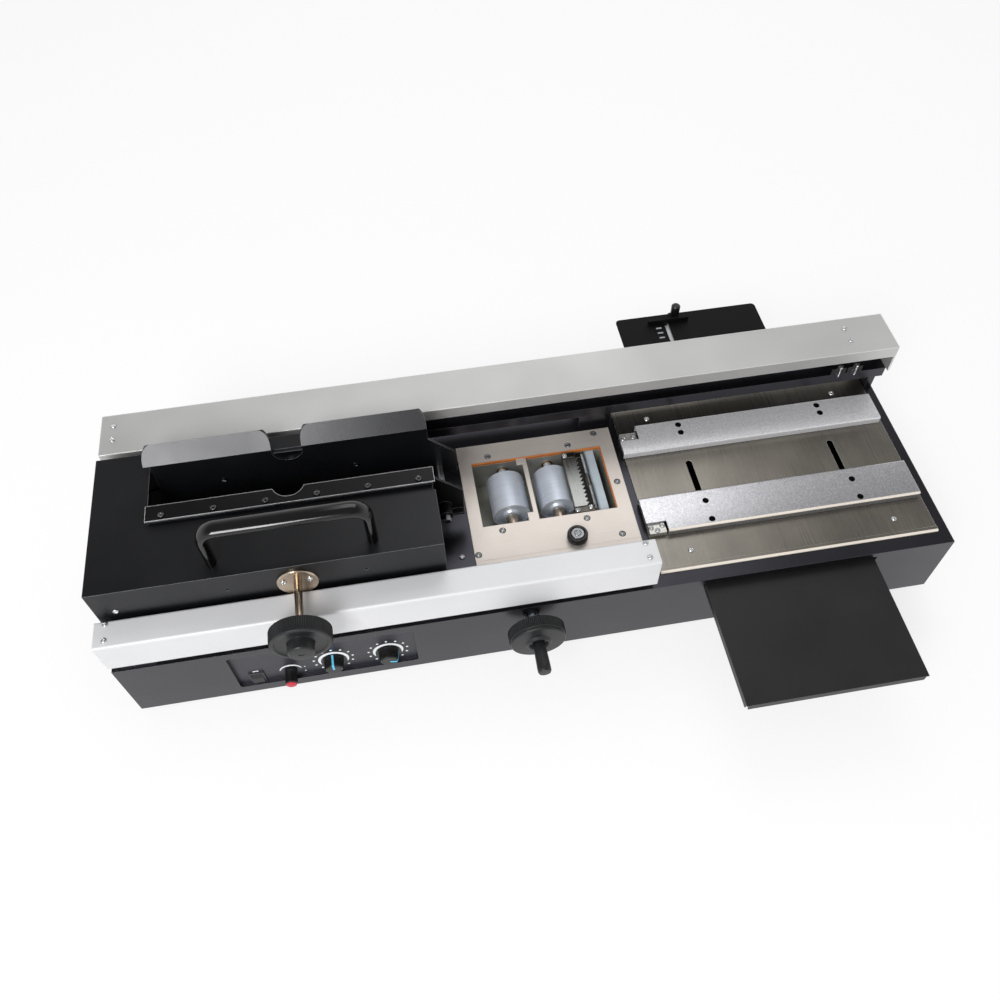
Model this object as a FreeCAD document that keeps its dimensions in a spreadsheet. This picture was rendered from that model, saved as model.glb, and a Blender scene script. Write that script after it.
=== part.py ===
import FreeCAD, Part
import math
import os
import types
import Sketcher

# A desktop perfect binder: a carriage clamps a block of pages, slides along two rails over a
# heated glue tank with two rollers, and stops over a pair of nippers that press the cover on.
#
# Every piece is drawn from the machine's datum, the front left lower corner of the base sheet:
# x runs right along the rails, y runs back, z runs up.  Each Placement then moves the piece
# to the part's own frame, whose origin lies on the ground under the middle of the base.

doc = FreeCAD.newDocument("perfect_binder")
sheet = doc.addObject("Spreadsheet::Sheet", "Size")

SIZES = {
    # base
    "base_length": 1000,
    "base_depth": 300,
    "base_height": 103,
    "sheet_wall": 2,
    "pan_wall": 1.5,
    "pan_flange": 14,
    "foot_height": 8,
    "foot_radius": 17,
    "foot_inset": 42,
    "fit_gap": 0.3,
    "running_fit": 0.06,
    # front rail
    "front_rail_length": 627,
    "front_rail_width": 33.6,
    "front_rail_height": 50,
    "front_rail_lift": 9.5,
    "front_rail_wall": 3,
    "front_rail_nose": 1,
    "rail_edge_radius": 3,
    "spacer_length": 40,
    "spacer_inset": 10,
    "shoe_groove_height": 12,
    "shoe_groove_depth": 8,
    "shoe_groove_drop": 24,
    "shoe_length": 30,
    "shoe_left": 16,
    # rear rail
    "rear_rail_front": 238.3,
    "rear_rail_top": 196,
    "rear_cover_wall": 2,
    "rear_front_flange": 17,
    "rear_back_flange": 56,
    "end_plate_height": 43,
    "beam_bottom": 138,
    "beam_lip_height": 15,
    "beam_setback": 5.2,
    "beam_wall": 4,
    "guide_width": 12,
    "guide_height": 10,
    "guide_inset": 26,
    "guide_groove": 1.4,
    "post_depth": 40,
    "left_post_width": 40,
    "middle_post_width": 42,
    "middle_post_right": 632,
    "right_post_width": 9.5,
    # carriage
    "carriage_left": 4.5,
    "carriage_length": 383,
    "carriage_front": 36,
    "carriage_depth": 183,
    "carriage_top": 210.5,
    "carriage_bottom": 122,
    "carriage_wall": 1.5,
    "frame_wall": 4,
    "frame_bottom": 135,
    "frame_rib": 6,
    "arm_thickness": 5,
    "block_length": 50,
    "block_height": 14,
    "block_width": 34,
    "first_block_left": 40,
    "second_block_left": 300,
    # jaws
    "jaw_left": 62,
    "jaw_ear": 18,
    "jaw_right": 388,
    "jaw_reach": 420,
    "jaw_bottom": 130,
    "jaw_shoulder": 168,
    "jaw_chamfer_top": 199,
    "jaw_wall": 3,
    "book_face": 192,
    "jaw_opening": 55,
    "jaw_lip": 8,
    "jaw_top_flange": 18,
    "rear_jaw_bend": 219,
    "tab_rise": 17.5,
    "tab_corner": 13,
    "thumb_gap_left": 207,
    "thumb_gap_width": 35,
    "thumb_gap_floor": 197.5,
    "strip_bottom": 216,
    "strip_wall": 2,
    "strip_depth": 21,
    "slot_left": 67,
    "slot_front_margin": 3,
    "slot_rear_margin": 4,
    "rod_radius": 5,
    "rod_height": 142,
    "rod_left": 55,
    "rod_right": 397,
    "rod_front": 110,
    "bush_radius": 8,
    "bush_length": 16,
    # clamp screw and handle
    "clamp_across": 224,
    "clamp_height": 180,
    "clamp_shaft_radius": 4.6,
    "clamp_thread_radius": 5.5,
    "clamp_collar_radius": 8,
    "clamp_collar_length": 6,
    "clamp_screw_end": 122,
    "clamp_flange_radius": 23,
    "clamp_flange_wall": 3,
    "nut_radius": 11,
    "nut_length": 76,
    "nut_thread": 12,
    "knob_radius": 33.5,
    "knob_width": 18.5,
    "knob_back": -24,
    "knob_hub_radius": 15,
    "knob_hub_length": 11,
    "knob_flute_radius": 1.6,
    "knob_flutes": 30,
    "handle_left": 138.5,
    "handle_span": 173.5,
    "handle_setback": 23,
    "handle_rise": 57.5,
    "handle_thickness": 11,
    "handle_breadth": 21,
    "handle_bend": 18,
    # glue station
    "plate_left": 424,
    "plate_right": 628,
    "plate_front": 71,
    "plate_rear": 247,
    "plate_wall": 2,
    "plate_screw_inset": 9,
    "window_left": 440,
    "window_right": 610,
    "window_front": 119,
    "window_rear": 217.5,
    "bridge_left": 498,
    "bridge_width": 13,
    "bridge_notch": 7.5,
    "bridge_notch_front": 131,
    "bridge_notch_rear": 207,
    "tank_wall": 7,
    "tank_floor": 52,
    "tank_bottom": 46,
    "tank_top": 99.5,
    "tank_leg_width": 8,
    "tank_leg_wall": 2.5,
    "heater_wall": 6,
    "heater_margin": 10,
    "roller_across": 480.5,
    "roller_spacing": 60,
    "roller_axis": 81.5,
    "first_roller_radius": 24,
    "second_roller_radius": 22.5,
    "roller_front": 144.5,
    "roller_length": 55,
    "roller_dish": 3,
    "shaft_radius": 5,
    "roller_bush_radius": 8,
    "gear_module": 1.5,
    "roller_teeth": 25,
    "idler_teeth": 15,
    "gear_front": 229.5,
    "gear_width": 7,
    "gear_play": 0.14,
    "stud_radius": 4,
    "wheel_radius": 33.5,
    "wheel_width": 19,
    "wheel_back": -16,
    "wheel_collar_radius": 13,
    "wheel_collar_rear": -6,
    "wheel_boss_radius": 15,
    "wheel_boss_length": 4,
    "grip_radius": 8,
    "grip_length": 35,
    # doctor blade and wiper
    "blade_left": 557.5,
    "blade_width": 28.5,
    "blade_bar": 4.5,
    "blade_front": 122,
    "blade_rear": 214,
    "blade_bottom": 98.3,
    "blade_bar_height": 4,
    "blade_block": 8,
    "blade_travel": 1.5,
    "blade_tooth": 4,
    "blade_teeth": 12,
    "blade_arm_width": 20,
    "film_knob_across": 551,
    "film_knob_back": 84,
    "film_knob_radius": 12.7,
    "film_knob_height": 10,
    "film_stem_radius": 3,
    "wiper_left": 589,
    "wiper_width": 12,
    "wiper_top": 98,
    "wiper_wall": 2,
    # cover station
    "tray_left": 637.6,
    "tray_right": 987,
    "tray_front": 18,
    "tray_rear": 296,
    "tray_wall": 1.5,
    "tray_hem": 6,
    "nipper_left": 636,
    "nipper_right": 983,
    "nipper_top": 115,
    "nipper_wall": 2,
    "rear_nipper_depth": 44,
    "front_nipper_front": 68,
    "front_nipper_depth": 53,
    "nipper_lift": 0.5,
    "nipper_notch": 24,
    "nipper_notch_depth": 12,
    "nipper_bracket_height": 5,
    "nipper_hole_radius": 2.9,
    "post_left": 717,
    "post_spacing": 190,
    "post_width": 7.4,
    "post_front": 73,
    "post_length": 31.5,
    "post_slot_travel": 70.5,
    "yoke_height": 16,
    "yoke_axis": 80,
    "yoke_overhang": 14,
    "nip_frame_wall": 6,
    "nip_frame_margin": 10,
    "nip_frame_front": 22,
    "nip_frame_rear": 217,
    "nip_rod_radius": 5,
    "nip_rod_spread": 72,
    "nip_screw_radius": 5,
    "motor_radius": 18,
    "motor_length": 58,
    # tables
    "table_left": 690,
    "table_width": 212,
    "table_reach": 155,
    "table_wall": 1.5,
    "front_table_top": 90.7,
    "rear_table_top": 90,
    "table_flange": 10,
    "table_relief": 3,
    "table_corner": 6,
    "table_tab": 18,
    "table_slot_height": 6.5,
    "fence_left": 735,
    "fence_length": 60,
    "fence_setback": 136,
    "fence_wall": 4,
    "fence_height": 8,
    "fence_slot_across": 762,
    "fence_slot_width": 6.4,
    "fence_travel": 35,
    "fence_knob_across": 777,
    "fence_knob_setback": 11,
    "fence_knob_radius": 6.4,
    "fence_knob_height": 19,
    "fence_stem_radius": 2.5,
    # controls
    "panel_left": 123,
    "panel_width": 216,
    "panel_bottom": 15,
    "panel_height": 76.5,
    "panel_wall": 1.5,
    "panel_border": 5,
    "panel_recess": 3,
    "rocker_across": 145.8,
    "rocker_height": 27,
    "rocker_width": 14,
    "rocker_length": 21,
    "rocker_depth": 10,
    "rocker_play": 0.3,
    "bezel_border": 2,
    "cap_knob_across": 186,
    "cap_knob_height": 30,
    "cap_knob_radius": 7,
    "cap_knob_length": 18,
    "left_dial_across": 239,
    "right_dial_across": 304.5,
    "dial_height": 41.5,
    "dial_radius": 10,
    "dial_length": 14,
    "dial_stem_radius": 3,
    "pot_radius": 8.5,
    "pot_depth": 9,
    "board_left": 172,
    "board_length": 150,
    "board_height": 62,
    "board_wall": 1.6,
    "board_bottom": 22,
    "inlet_across": 60,
    "inlet_width": 27.5,
    "inlet_height": 20,
    "inlet_bottom": 40,
    "inlet_depth": 17,
    "switch_inset": 78,
    "switch_length": 20,
    "switch_spacing": 22,
    "switch_width": 6.4,
    "switch_height": 10,
    "lever_length": 16,
    "lever_pin_radius": 1.8,
    # screws
    "rail_screw_inset": 12,
    "rail_screw_front": 8,
    "rail_screw_rear": 5,
    "wall_screw_inset": 22.5,
    "wall_screw_height": 174,
    "spare_hole_spread": 75.6,
    "spare_hole_height": 183,
    "screw_head_radius": 3.5,
    "screw_head_height": 2.2,
    "screw_shank_radius": 1.9,
    "screw_clearance": 0.1,
    "screw_reach": 1.2,
}


SCREW_SIDES = 12


class Dim:
    """A size that knows both its number and the sheet expression that gives it."""

    def __init__(self, text, number):
        self.text = text
        self.number = number

    def __float__(self):
        return float(self.number)

    def joined(self, sign, other, number):
        return Dim("(" + self.text + sign + other.text + ")", number)

    def __add__(self, other):
        other = dim(other)
        return self.joined(" + ", other, self.number + other.number)

    def __sub__(self, other):
        other = dim(other)
        return self.joined(" - ", other, self.number - other.number)

    def __mul__(self, other):
        other = dim(other)
        return self.joined(" * ", other, self.number * other.number)

    def __truediv__(self, other):
        other = dim(other)
        return self.joined(" / ", other, self.number / other.number)

    def __radd__(self, other):
        return dim(other) + self

    def __rsub__(self, other):
        return dim(other) - self

    def __rmul__(self, other):
        return dim(other) * self

    def __neg__(self):
        return dim(0) - self


def dim(value):
    """Wrap a plain number, so that it can stand beside a sheet size."""
    if isinstance(value, Dim):
        return value
    return Dim("(%s)" % repr(float(value)), float(value))


def write_sheet():
    """Fill the sheet with one aliased cell per driving size and read the cells back."""
    for row, (alias, number) in enumerate(SIZES.items(), start=1):
        cell = "B%d" % row
        sheet.set("A%d" % row, alias)
        sheet.set(cell, str(number))
        sheet.setAlias(cell, alias)
    doc.recompute()
    return {alias: Dim("Size." + alias, float(sheet.get(alias))) for alias in SIZES}


d = types.SimpleNamespace(**write_sheet())
pieces = []
cuts = []


def locate(piece):
    """Bind the Placement that carries a piece from the machine's datum to the part's frame."""
    piece.setExpression("Placement.Base.x", "-Size.base_length / 2")
    piece.setExpression("Placement.Base.y", "-Size.base_depth / 2")
    piece.setExpression("Placement.Base.z", "Size.foot_height")


def new_body(name):
    body = doc.addObject("PartDesign::Body", name)
    body.Label = name
    body.AllowCompound = True
    locate(body)
    pieces.append(body)
    return body


def rect(x0, y0, x1, y1):
    return poly([(x0, y0), (x1, y0), (x1, y1), (x0, y1)])


def poly(points):
    """A closed outline of straight lines whose corners are tied to the sketch's origin."""

    def draw(sketch):
        first = sketch.GeometryCount
        corners = [FreeCAD.Vector(float(dim(x)), float(dim(y)), 0) for x, y in points]
        count = len(corners)
        for k in range(count):
            sketch.addGeometry(Part.LineSegment(corners[k], corners[(k + 1) % count]), False)
        for k in range(count):
            after = first + (k + 1) % count
            sketch.addConstraint(Sketcher.Constraint("Coincident", first + k, 2, after, 1))
        for k, (x, y) in enumerate(points):
            tie(sketch, "DistanceX", first + k, 1, x)
            tie(sketch, "DistanceY", first + k, 1, y)

    return draw


def tie(sketch, kind, geometry, point, value):
    """Hold a point at a distance from the sketch's origin that follows the sheet."""
    value = dim(value)
    constraint = Sketcher.Constraint(kind, -1, 1, geometry, point, float(value))
    index = sketch.addConstraint(constraint)
    sketch.setExpression("Constraints[%d]" % index, value.text)


def disc(x, y, radius):
    """A full circle with a bound centre and radius."""

    def draw(sketch):
        centre = FreeCAD.Vector(float(dim(x)), float(dim(y)), 0)
        circle = Part.Circle(centre, FreeCAD.Vector(0, 0, 1), float(dim(radius)))
        geometry = sketch.addGeometry(circle, False)
        tie(sketch, "DistanceX", geometry, 3, x)
        tie(sketch, "DistanceY", geometry, 3, y)
        index = sketch.addConstraint(
            Sketcher.Constraint("Radius", geometry, float(dim(radius)))
        )
        sketch.setExpression("Constraints[%d]" % index, dim(radius).text)

    return draw


def rounded(x0, y0, x1, y1, radius):
    """A rectangle whose four corners are arcs of one radius."""

    def draw(sketch):
        left, low, right, high, bend = [float(dim(v)) for v in (x0, y0, x1, y1, radius)]
        first = sketch.GeometryCount
        ends = [
            ((left + bend, low), (right - bend, low)),
            ((right, low + bend), (right, high - bend)),
            ((right - bend, high), (left + bend, high)),
            ((left, high - bend), (left, low + bend)),
        ]
        centres = [
            (right - bend, low + bend),
            (right - bend, high - bend),
            (left + bend, high - bend),
            (left + bend, low + bend),
        ]
        for k in range(4):
            start, end = [FreeCAD.Vector(x, y, 0) for x, y in ends[k]]
            sketch.addGeometry(Part.LineSegment(start, end), False)
            centre = FreeCAD.Vector(centres[k][0], centres[k][1], 0)
            circle = Part.Circle(centre, FreeCAD.Vector(0, 0, 1), bend)
            turn = (k - 1) * math.pi / 2
            sketch.addGeometry(Part.ArcOfCircle(circle, turn, turn + math.pi / 2), False)
        for k in range(4):
            line = first + 2 * k
            arc = line + 1
            after = first + (2 * k + 2) % 8
            sketch.addConstraint(Sketcher.Constraint("Tangent", line, 2, arc, 1))
            sketch.addConstraint(Sketcher.Constraint("Tangent", arc, 2, after, 1))
            way = "Horizontal" if k % 2 == 0 else "Vertical"
            sketch.addConstraint(Sketcher.Constraint(way, line))
            index = sketch.addConstraint(Sketcher.Constraint("Radius", arc, bend))
            sketch.setExpression("Constraints[%d]" % index, dim(radius).text)
        tie(sketch, "DistanceY", first, 1, y0)
        tie(sketch, "DistanceX", first + 2, 1, x1)
        tie(sketch, "DistanceY", first + 4, 1, y1)
        tie(sketch, "DistanceX", first + 6, 1, x0)

    return draw


def corner_trim(x, high, way, radius):
    """The waste outside a rounded upper corner at (x, high); WAY is the side it opens to."""

    def draw(sketch):
        corner, top, bend = [float(dim(v)) for v in (x, high, radius)]
        first = sketch.GeometryCount
        low = FreeCAD.Vector(corner, top - bend, 0)
        peak = FreeCAD.Vector(corner, top, 0)
        far = FreeCAD.Vector(corner + way * bend, top, 0)
        centre = FreeCAD.Vector(corner + way * bend, top - bend, 0)
        circle = Part.Circle(centre, FreeCAD.Vector(0, 0, 1), bend)
        start, end = (math.pi / 2, math.pi) if way > 0 else (0, math.pi / 2)
        sketch.addGeometry(Part.LineSegment(low, peak), False)
        sketch.addGeometry(Part.LineSegment(peak, far), False)
        sketch.addGeometry(Part.ArcOfCircle(circle, start, end), False)
        at_far, at_low = (1, 2) if way > 0 else (2, 1)
        sketch.addConstraint(Sketcher.Constraint("Coincident", first, 2, first + 1, 1))
        sketch.addConstraint(Sketcher.Constraint("Coincident", first + 1, 2, first + 2, at_far))
        sketch.addConstraint(Sketcher.Constraint("Coincident", first + 2, at_low, first, 1))
        tie(sketch, "DistanceX", first, 2, x)
        tie(sketch, "DistanceY", first, 2, high)
        tie(sketch, "DistanceY", first, 1, high - radius)
        tie(sketch, "DistanceX", first + 1, 2, x + way * radius)
        sketch.addConstraint(Sketcher.Constraint("Vertical", first))
        sketch.addConstraint(Sketcher.Constraint("Horizontal", first + 1))
        index = sketch.addConstraint(Sketcher.Constraint("Radius", first + 2, bend))
        sketch.setExpression("Constraints[%d]" % index, dim(radius).text)

    return draw


def screw_corners(radius):
    """The corners of the twelve-sided outline that screws and their holes share."""
    turns = [2 * math.pi * k / SCREW_SIDES for k in range(SCREW_SIDES)]
    return [(radius * math.cos(turn), radius * math.sin(turn)) for turn in turns]


def screw_hole(x, y):
    """The clearance hole for a screw."""
    corners = screw_corners(d.screw_shank_radius + d.screw_clearance)
    return poly([(x + across, y + up) for across, up in corners])


def new_sketch(body, plane, at, outlines, origin=(0, 0)):
    """A sketch on one of the body's own origin planes.

    Plane XY looks down z, XZ has x across and z up, YZ has y across and z up.  The sketch
    lies at the distance AT along the third axis, and ORIGIN shifts its own zero.
    """
    sketch = body.newObject("Sketcher::SketchObject", body.Name + "_sketch")
    role = plane + "_Plane"
    support = [item for item in body.Origin.OriginFeatures if item.Role == role][0]
    sketch.AttachmentSupport = [(support, "")]
    sketch.MapMode = "FlatFace"
    level = -dim(at) if plane == "XZ" else dim(at)
    sketch.setExpression("AttachmentOffset.Base.x", dim(origin[0]).text)
    sketch.setExpression("AttachmentOffset.Base.y", dim(origin[1]).text)
    sketch.setExpression("AttachmentOffset.Base.z", level.text)
    for draw in outlines:
        draw(sketch)
    return sketch


def pad(body, plane, at, outlines, depth, origin=(0, 0)):
    """Add material from the level AT towards the plus side of the plane's axis."""
    sketch = new_sketch(body, plane, at, outlines, origin)
    feature = body.newObject("PartDesign::Pad", body.Name + "_pad")
    feature.Profile = sketch
    feature.setExpression("Length", dim(depth).text)
    feature.Reversed = plane == "XZ"
    body.Tip = feature
    return feature


def pocket(body, plane, at, outlines, depth, origin=(0, 0)):
    """Cut from the level AT towards the plus side of the plane's axis."""
    sketch = new_sketch(body, plane, at, outlines, origin)
    feature = body.newObject("PartDesign::Pocket", body.Name + "_pocket")
    feature.Profile = sketch
    feature.setExpression("Length", dim(depth).text)
    feature.Reversed = plane != "XZ"
    body.Tip = feature
    cuts.append(feature)
    return feature


def turned(body, axis, centre, points):
    """Turn a profile of (along the axis, radius) points about an axis through CENTRE.

    CENTRE holds the two coordinates across the axis: (x, z) for y, (x, y) for z, (y, z) for x.
    """
    across, up = centre
    if axis == "y":
        sketch = new_sketch(body, "YZ", across, [poly(points)], (0, up))
        name = "H_Axis"
    elif axis == "x":
        sketch = new_sketch(body, "XZ", across, [poly(points)], (0, up))
        name = "H_Axis"
    else:
        swapped = [(radius, along) for along, radius in points]
        sketch = new_sketch(body, "XZ", up, [poly(swapped)], (across, 0))
        name = "V_Axis"
    feature = body.newObject("PartDesign::Revolution", body.Name + "_turn")
    feature.Profile = sketch
    feature.ReferenceAxis = (sketch, [name])
    feature.Angle = 360
    body.Tip = feature
    return feature


def fluted(body, plane, at, centre, radius, bite, count, depth):
    """Cut evenly spaced straight flutes into the rim of a turned wheel or knob."""
    notch = poly([(radius - bite, 0), (radius + bite, -bite * 1.6), (radius + bite, bite * 1.6)])
    first = pocket(body, plane, at, [notch], depth, centre)
    sketch = first.Profile[0]
    pattern = body.newObject("PartDesign::PolarPattern", body.Name + "_flutes")
    pattern.Originals = [first]
    pattern.Axis = (sketch, ["N_Axis"])
    pattern.Angle = 360
    pattern.setExpression("Occurrences", count.text)
    body.Tip = pattern
    return pattern


def screw_prism(seat, out, radius, length):
    """A straight length of screw that grows from SEAT along OUT."""
    across = FreeCAD.Vector(1, 0, 0)
    up = out.cross(across)
    corners = [seat + across * a + up * b for a, b in screw_corners(float(radius))]
    face = Part.Face(Part.makePolygon(corners + corners[:1]))
    return face.extrude(out * float(length))


def screw_group(name, places):
    """Flat-headed screws as a group of separate solids.

    Each place is (x, y, z, direction): the seat of the head, and the way the head points.
    """
    solids = []
    for x, y, z, way in places:
        seat = FreeCAD.Vector(float(dim(x)), float(dim(y)), float(dim(z)))
        out = FreeCAD.Vector(*way)
        head = screw_prism(seat, out, d.screw_head_radius, d.screw_head_height)
        root = seat - out * float(d.screw_reach)
        solids.append(head.fuse(screw_prism(root, out, d.screw_shank_radius, d.screw_reach)))
    feature = doc.addObject("Part::Feature", name)
    feature.Label = name
    feature.Shape = Part.makeCompound(solids)
    locate(feature)
    pieces.append(feature)


# ---------------------------------------------------------------- base ----

def base_housing():
    """The folded steel housing, open below, with its deck, wall and shaft openings."""
    body = new_body("base_housing")
    inner_right = d.base_length - d.sheet_wall
    inner_rear = d.base_depth - d.sheet_wall
    deck = d.base_height - d.sheet_wall
    pad(body, "XY", 0, [rect(0, 0, d.base_length, d.base_depth)], d.base_height)
    pocket(body, "XY", 0, [rect(d.sheet_wall, d.sheet_wall, inner_right, inner_rear)], deck)
    glue = rect(tank_left() - 3, d.plate_front + 8, tank_right() + 3, d.plate_rear - 8)
    nip = rect(
        d.post_left - 12,
        d.post_front - 12,
        d.post_left + d.post_spacing + 12,
        d.post_front + d.post_length + d.post_slot_travel + 8,
    )
    pocket(body, "XY", deck, [glue, nip], d.sheet_wall)
    panel = rounded(
        d.panel_left,
        d.panel_bottom,
        d.panel_left + d.panel_width,
        d.panel_bottom + d.panel_height,
        4,
    )
    table_right = d.table_left + d.table_width
    front_slot = rect(
        d.table_left - 2,
        d.front_table_top - 2.2,
        table_right + 2,
        d.front_table_top - 2.2 + d.table_slot_height,
    )
    shaft = disc(d.roller_across, d.roller_axis, d.shaft_radius + 2)
    pocket(body, "XZ", 0, [panel, front_slot, shaft], d.sheet_wall)
    rear_slot = rect(
        d.table_left - 2,
        d.rear_table_top - 2.2,
        table_right + 2,
        d.rear_table_top - 2.2 + d.table_slot_height,
    )
    inlet = rect(
        d.inlet_across,
        d.inlet_bottom,
        d.inlet_across + d.inlet_width,
        d.inlet_bottom + d.inlet_height,
    )
    pocket(body, "XZ", inner_rear, [rear_slot, inlet], d.sheet_wall)


def bottom_pan():
    """The floor pan that closes the housing; its upturned flange is screwed to the walls."""
    body = new_body("bottom_pan")
    edge = d.sheet_wall
    inside = edge + d.pan_wall
    pad(body, "XY", 0, [rect(edge, edge, d.base_length - edge, d.base_depth - edge)], d.pan_flange)
    pocket(
        body,
        "XY",
        d.pan_wall,
        [rect(inside, inside, d.base_length - inside, d.base_depth - inside)],
        d.pan_flange,
    )


def rubber_feet():
    """Four moulded feet under the corners of the pan."""
    body = new_body("rubber_feet")
    right = d.base_length - d.foot_inset
    rear = d.base_depth - d.foot_inset
    for x in (d.foot_inset, right):
        for y in (d.foot_inset, rear):
            tread = d.foot_radius - 3
            profile = [(-d.foot_height, 0), (-d.foot_height, tread), (0, d.foot_radius), (0, 0)]
            turned(body, "z", (x, y), profile)


def panel_face():
    return d.sheet_wall + d.panel_recess


def panel_rear():
    return panel_face() + d.panel_wall


def control_panel():
    """The dished fascia behind the front opening, moulded in one with the switch's frame."""
    body = new_body("control_panel")
    right = d.panel_left + d.panel_width
    top = d.panel_bottom + d.panel_height
    face = panel_face()
    border = d.panel_border
    outline = rect(d.panel_left - border, d.pan_flange, right + border, top + border)
    opening = rounded(d.panel_left, d.panel_bottom, right, top, 4)
    pad(body, "XZ", d.sheet_wall, [outline], d.panel_recess + d.panel_wall)
    pocket(body, "XZ", d.sheet_wall, [opening], d.panel_recess)
    half_width = d.rocker_width / 2
    half_length = d.rocker_length / 2
    brim = d.bezel_border
    x, z = d.rocker_across, d.rocker_height
    frame = rounded(
        x - half_width - brim, z - half_length - brim, x + half_width + brim, z + half_length + brim, 1
    )
    sleeve = rect(x - half_width - 1, z - half_length - 1, x + half_width + 1, z + half_length + 1)
    window = rect(x - half_width, z - half_length, x + half_width, z + half_length)
    pad(body, "XZ", face - brim, [frame], brim)
    pad(body, "XZ", panel_rear(), [sleeve], d.rocker_depth)
    pocket(body, "XZ", face - brim, [window], brim + d.panel_wall + d.rocker_depth - 1)
    knob_hole = d.dial_stem_radius + 0.5
    pocket(body, "XZ", face, [disc(px, pz, knob_hole) for px, pz in dial_places()], d.panel_wall)


def dial_places():
    """Where the three rotary controls pass through the fascia."""
    return [
        (d.cap_knob_across, d.cap_knob_height),
        (d.left_dial_across, d.dial_height),
        (d.right_dial_across, d.dial_height),
    ]


def power_rocker():
    """The switch paddle; it rocks about a pin across the middle of its bezel."""
    body = new_body("power_rocker")
    half = d.rocker_length / 2 - 3 * d.rocker_play
    z = d.rocker_height
    face = panel_face()
    profile = poly(
        [
            (face - 3.6, z - half),
            (face - 2.6, z),
            (face + 0.2, z + half),
            (face + 4.0, z + half - 1.6),
            (face + 5.2, z),
            (face + 3.0, z - half + 1.0),
        ]
    )
    left = d.rocker_across - d.rocker_width / 2 + d.rocker_play
    pad(body, "YZ", left, [profile], d.rocker_width - 2 * d.rocker_play)


def knob(name, across, height, radius, length, brim, pointer):
    """A push-on knob with its own stem; POINTER holds the angle of its groove from upright."""
    body = new_body(name)
    face = panel_face()
    front = face - 0.6 - length
    profile = [
        (front, 0),
        (front, radius - 1.2),
        (front + 1.2, radius),
        (face - 0.6, radius + brim),
        (face - 0.6, d.dial_stem_radius),
        (panel_rear() + 1.2, d.dial_stem_radius),
        (panel_rear() + 1.2, 0),
    ]
    turned(body, "y", (across, height), profile)
    if pointer:
        ux, uz = math.sin(math.radians(pointer[0])), math.cos(math.radians(pointer[0]))
        corners = []
        for along, side in ((1.5, -0.8), (1.5, 0.8), (radius + 0.5, 0.8), (radius + 0.5, -0.8)):
            corners.append((across + along * ux + side * uz, height + along * uz - side * ux))
        pocket(body, "XZ", front - 0.1, [poly(corners)], 0.9)


def control_board():
    """The upright board behind the fascia, with the three rotary controls soldered to it."""
    body = new_body("control_board")
    start = panel_rear()
    face = start + d.pot_depth
    low = d.board_bottom
    right = d.board_left + d.board_length
    pad(body, "XZ", face, [rect(d.board_left, low, right, low + d.board_height)], d.board_wall)
    bore = d.dial_stem_radius + d.running_fit
    places = dial_places()
    half = d.pot_radius
    pad(body, "XZ", start, [rect(x - half, z - half, x + half, z + half) for x, z in places], d.pot_depth)
    pocket(body, "XZ", start, [disc(x, z, bore) for x, z in places], 2.2)
    back = face + d.board_wall
    relay = rect(d.board_left + 8, low + 34, d.board_left + 36, low + 50)
    choke = rect(d.board_left + 98, low + 22, d.board_left + 122, low + 46)
    sink = rect(d.board_left + 56, low + 12, d.board_left + 84, low + 52)
    pad(body, "XZ", back, [relay, choke, sink], 16)


def power_inlet():
    """The appliance inlet in the rear wall."""
    body = new_body("power_inlet")
    x0, z0 = d.inlet_across, d.inlet_bottom
    x1, z1 = x0 + d.inlet_width, z0 + d.inlet_height
    rear = d.base_depth
    gap = d.fit_gap
    pad(body, "XZ", rear - d.inlet_depth, [rect(x0 + gap, z0 + gap, x1 - gap, z1 - gap)], d.inlet_depth)
    pad(body, "XZ", rear, [rounded(x0 - 10, z0 - 2, x1 + 10, z1 + 2, 3)], 2)
    socket = poly(
        [
            (x0 + 3, z0 + 3),
            (x1 - 3, z0 + 3),
            (x1 - 3, z1 - 8),
            (x1 - 7, z1 - 3),
            (x0 + 7, z1 - 3),
            (x0 + 3, z1 - 8),
        ]
    )
    pocket(body, "XZ", rear - d.inlet_depth + 3, [socket], d.inlet_depth)


# --------------------------------------------------------------- rails ----

def rail_back():
    return d.front_rail_width - d.front_rail_nose


def rail_bottom():
    return d.base_height + d.front_rail_lift


def groove_top():
    return rail_bottom() + d.front_rail_height - d.shoe_groove_drop + d.shoe_groove_height


def front_rail():
    """The hollow aluminium extrusion along the front, grooved behind for the slide shoe."""
    body = new_body("front_rail")
    wall = d.front_rail_wall
    low = rail_bottom()
    high = low + d.front_rail_height
    front = -d.front_rail_nose
    back = rail_back()
    groove_low = groove_top() - d.shoe_groove_height
    deep = back - d.shoe_groove_depth
    outer = rounded(front, low, back, high, d.rail_edge_radius)
    upper = rect(front + wall, groove_top() + wall, back - wall, high - wall)
    lower = rect(front + wall, low + wall, back - wall, groove_low - wall)
    pad(body, "YZ", 0, [outer, upper, lower], d.front_rail_length)
    middle = rect(front + wall, groove_low - wall, deep - wall, groove_top() + wall)
    pocket(body, "YZ", -1, [middle], d.front_rail_length + 2)
    groove = rect(deep, groove_low, back + 1, groove_top())
    pocket(body, "YZ", -1, [groove], d.front_rail_length + 2)
    pocket(body, "XY", high - wall, [screw_hole(x, y) for x, y in rail_screws()], wall)


def rail_screws():
    """The four screws on top of the front rail, as (x, y)."""
    inset = d.rail_screw_inset
    rows = (d.rail_screw_front, rail_back() - d.rail_screw_rear)
    return [(x, y) for x in (inset, d.front_rail_length - inset) for y in rows]


def rail_spacers():
    """Blocks that hold the front rail clear of the deck."""
    body = new_body("rail_spacers")
    pitch = d.front_rail_length * 0.27
    blocks = []
    for k in range(4):
        left = d.spacer_inset + pitch * k
        blocks.append(rect(left, 4, left + d.spacer_length, d.front_rail_width - 6))
    pad(body, "XY", d.base_height, blocks, d.front_rail_lift)


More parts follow.
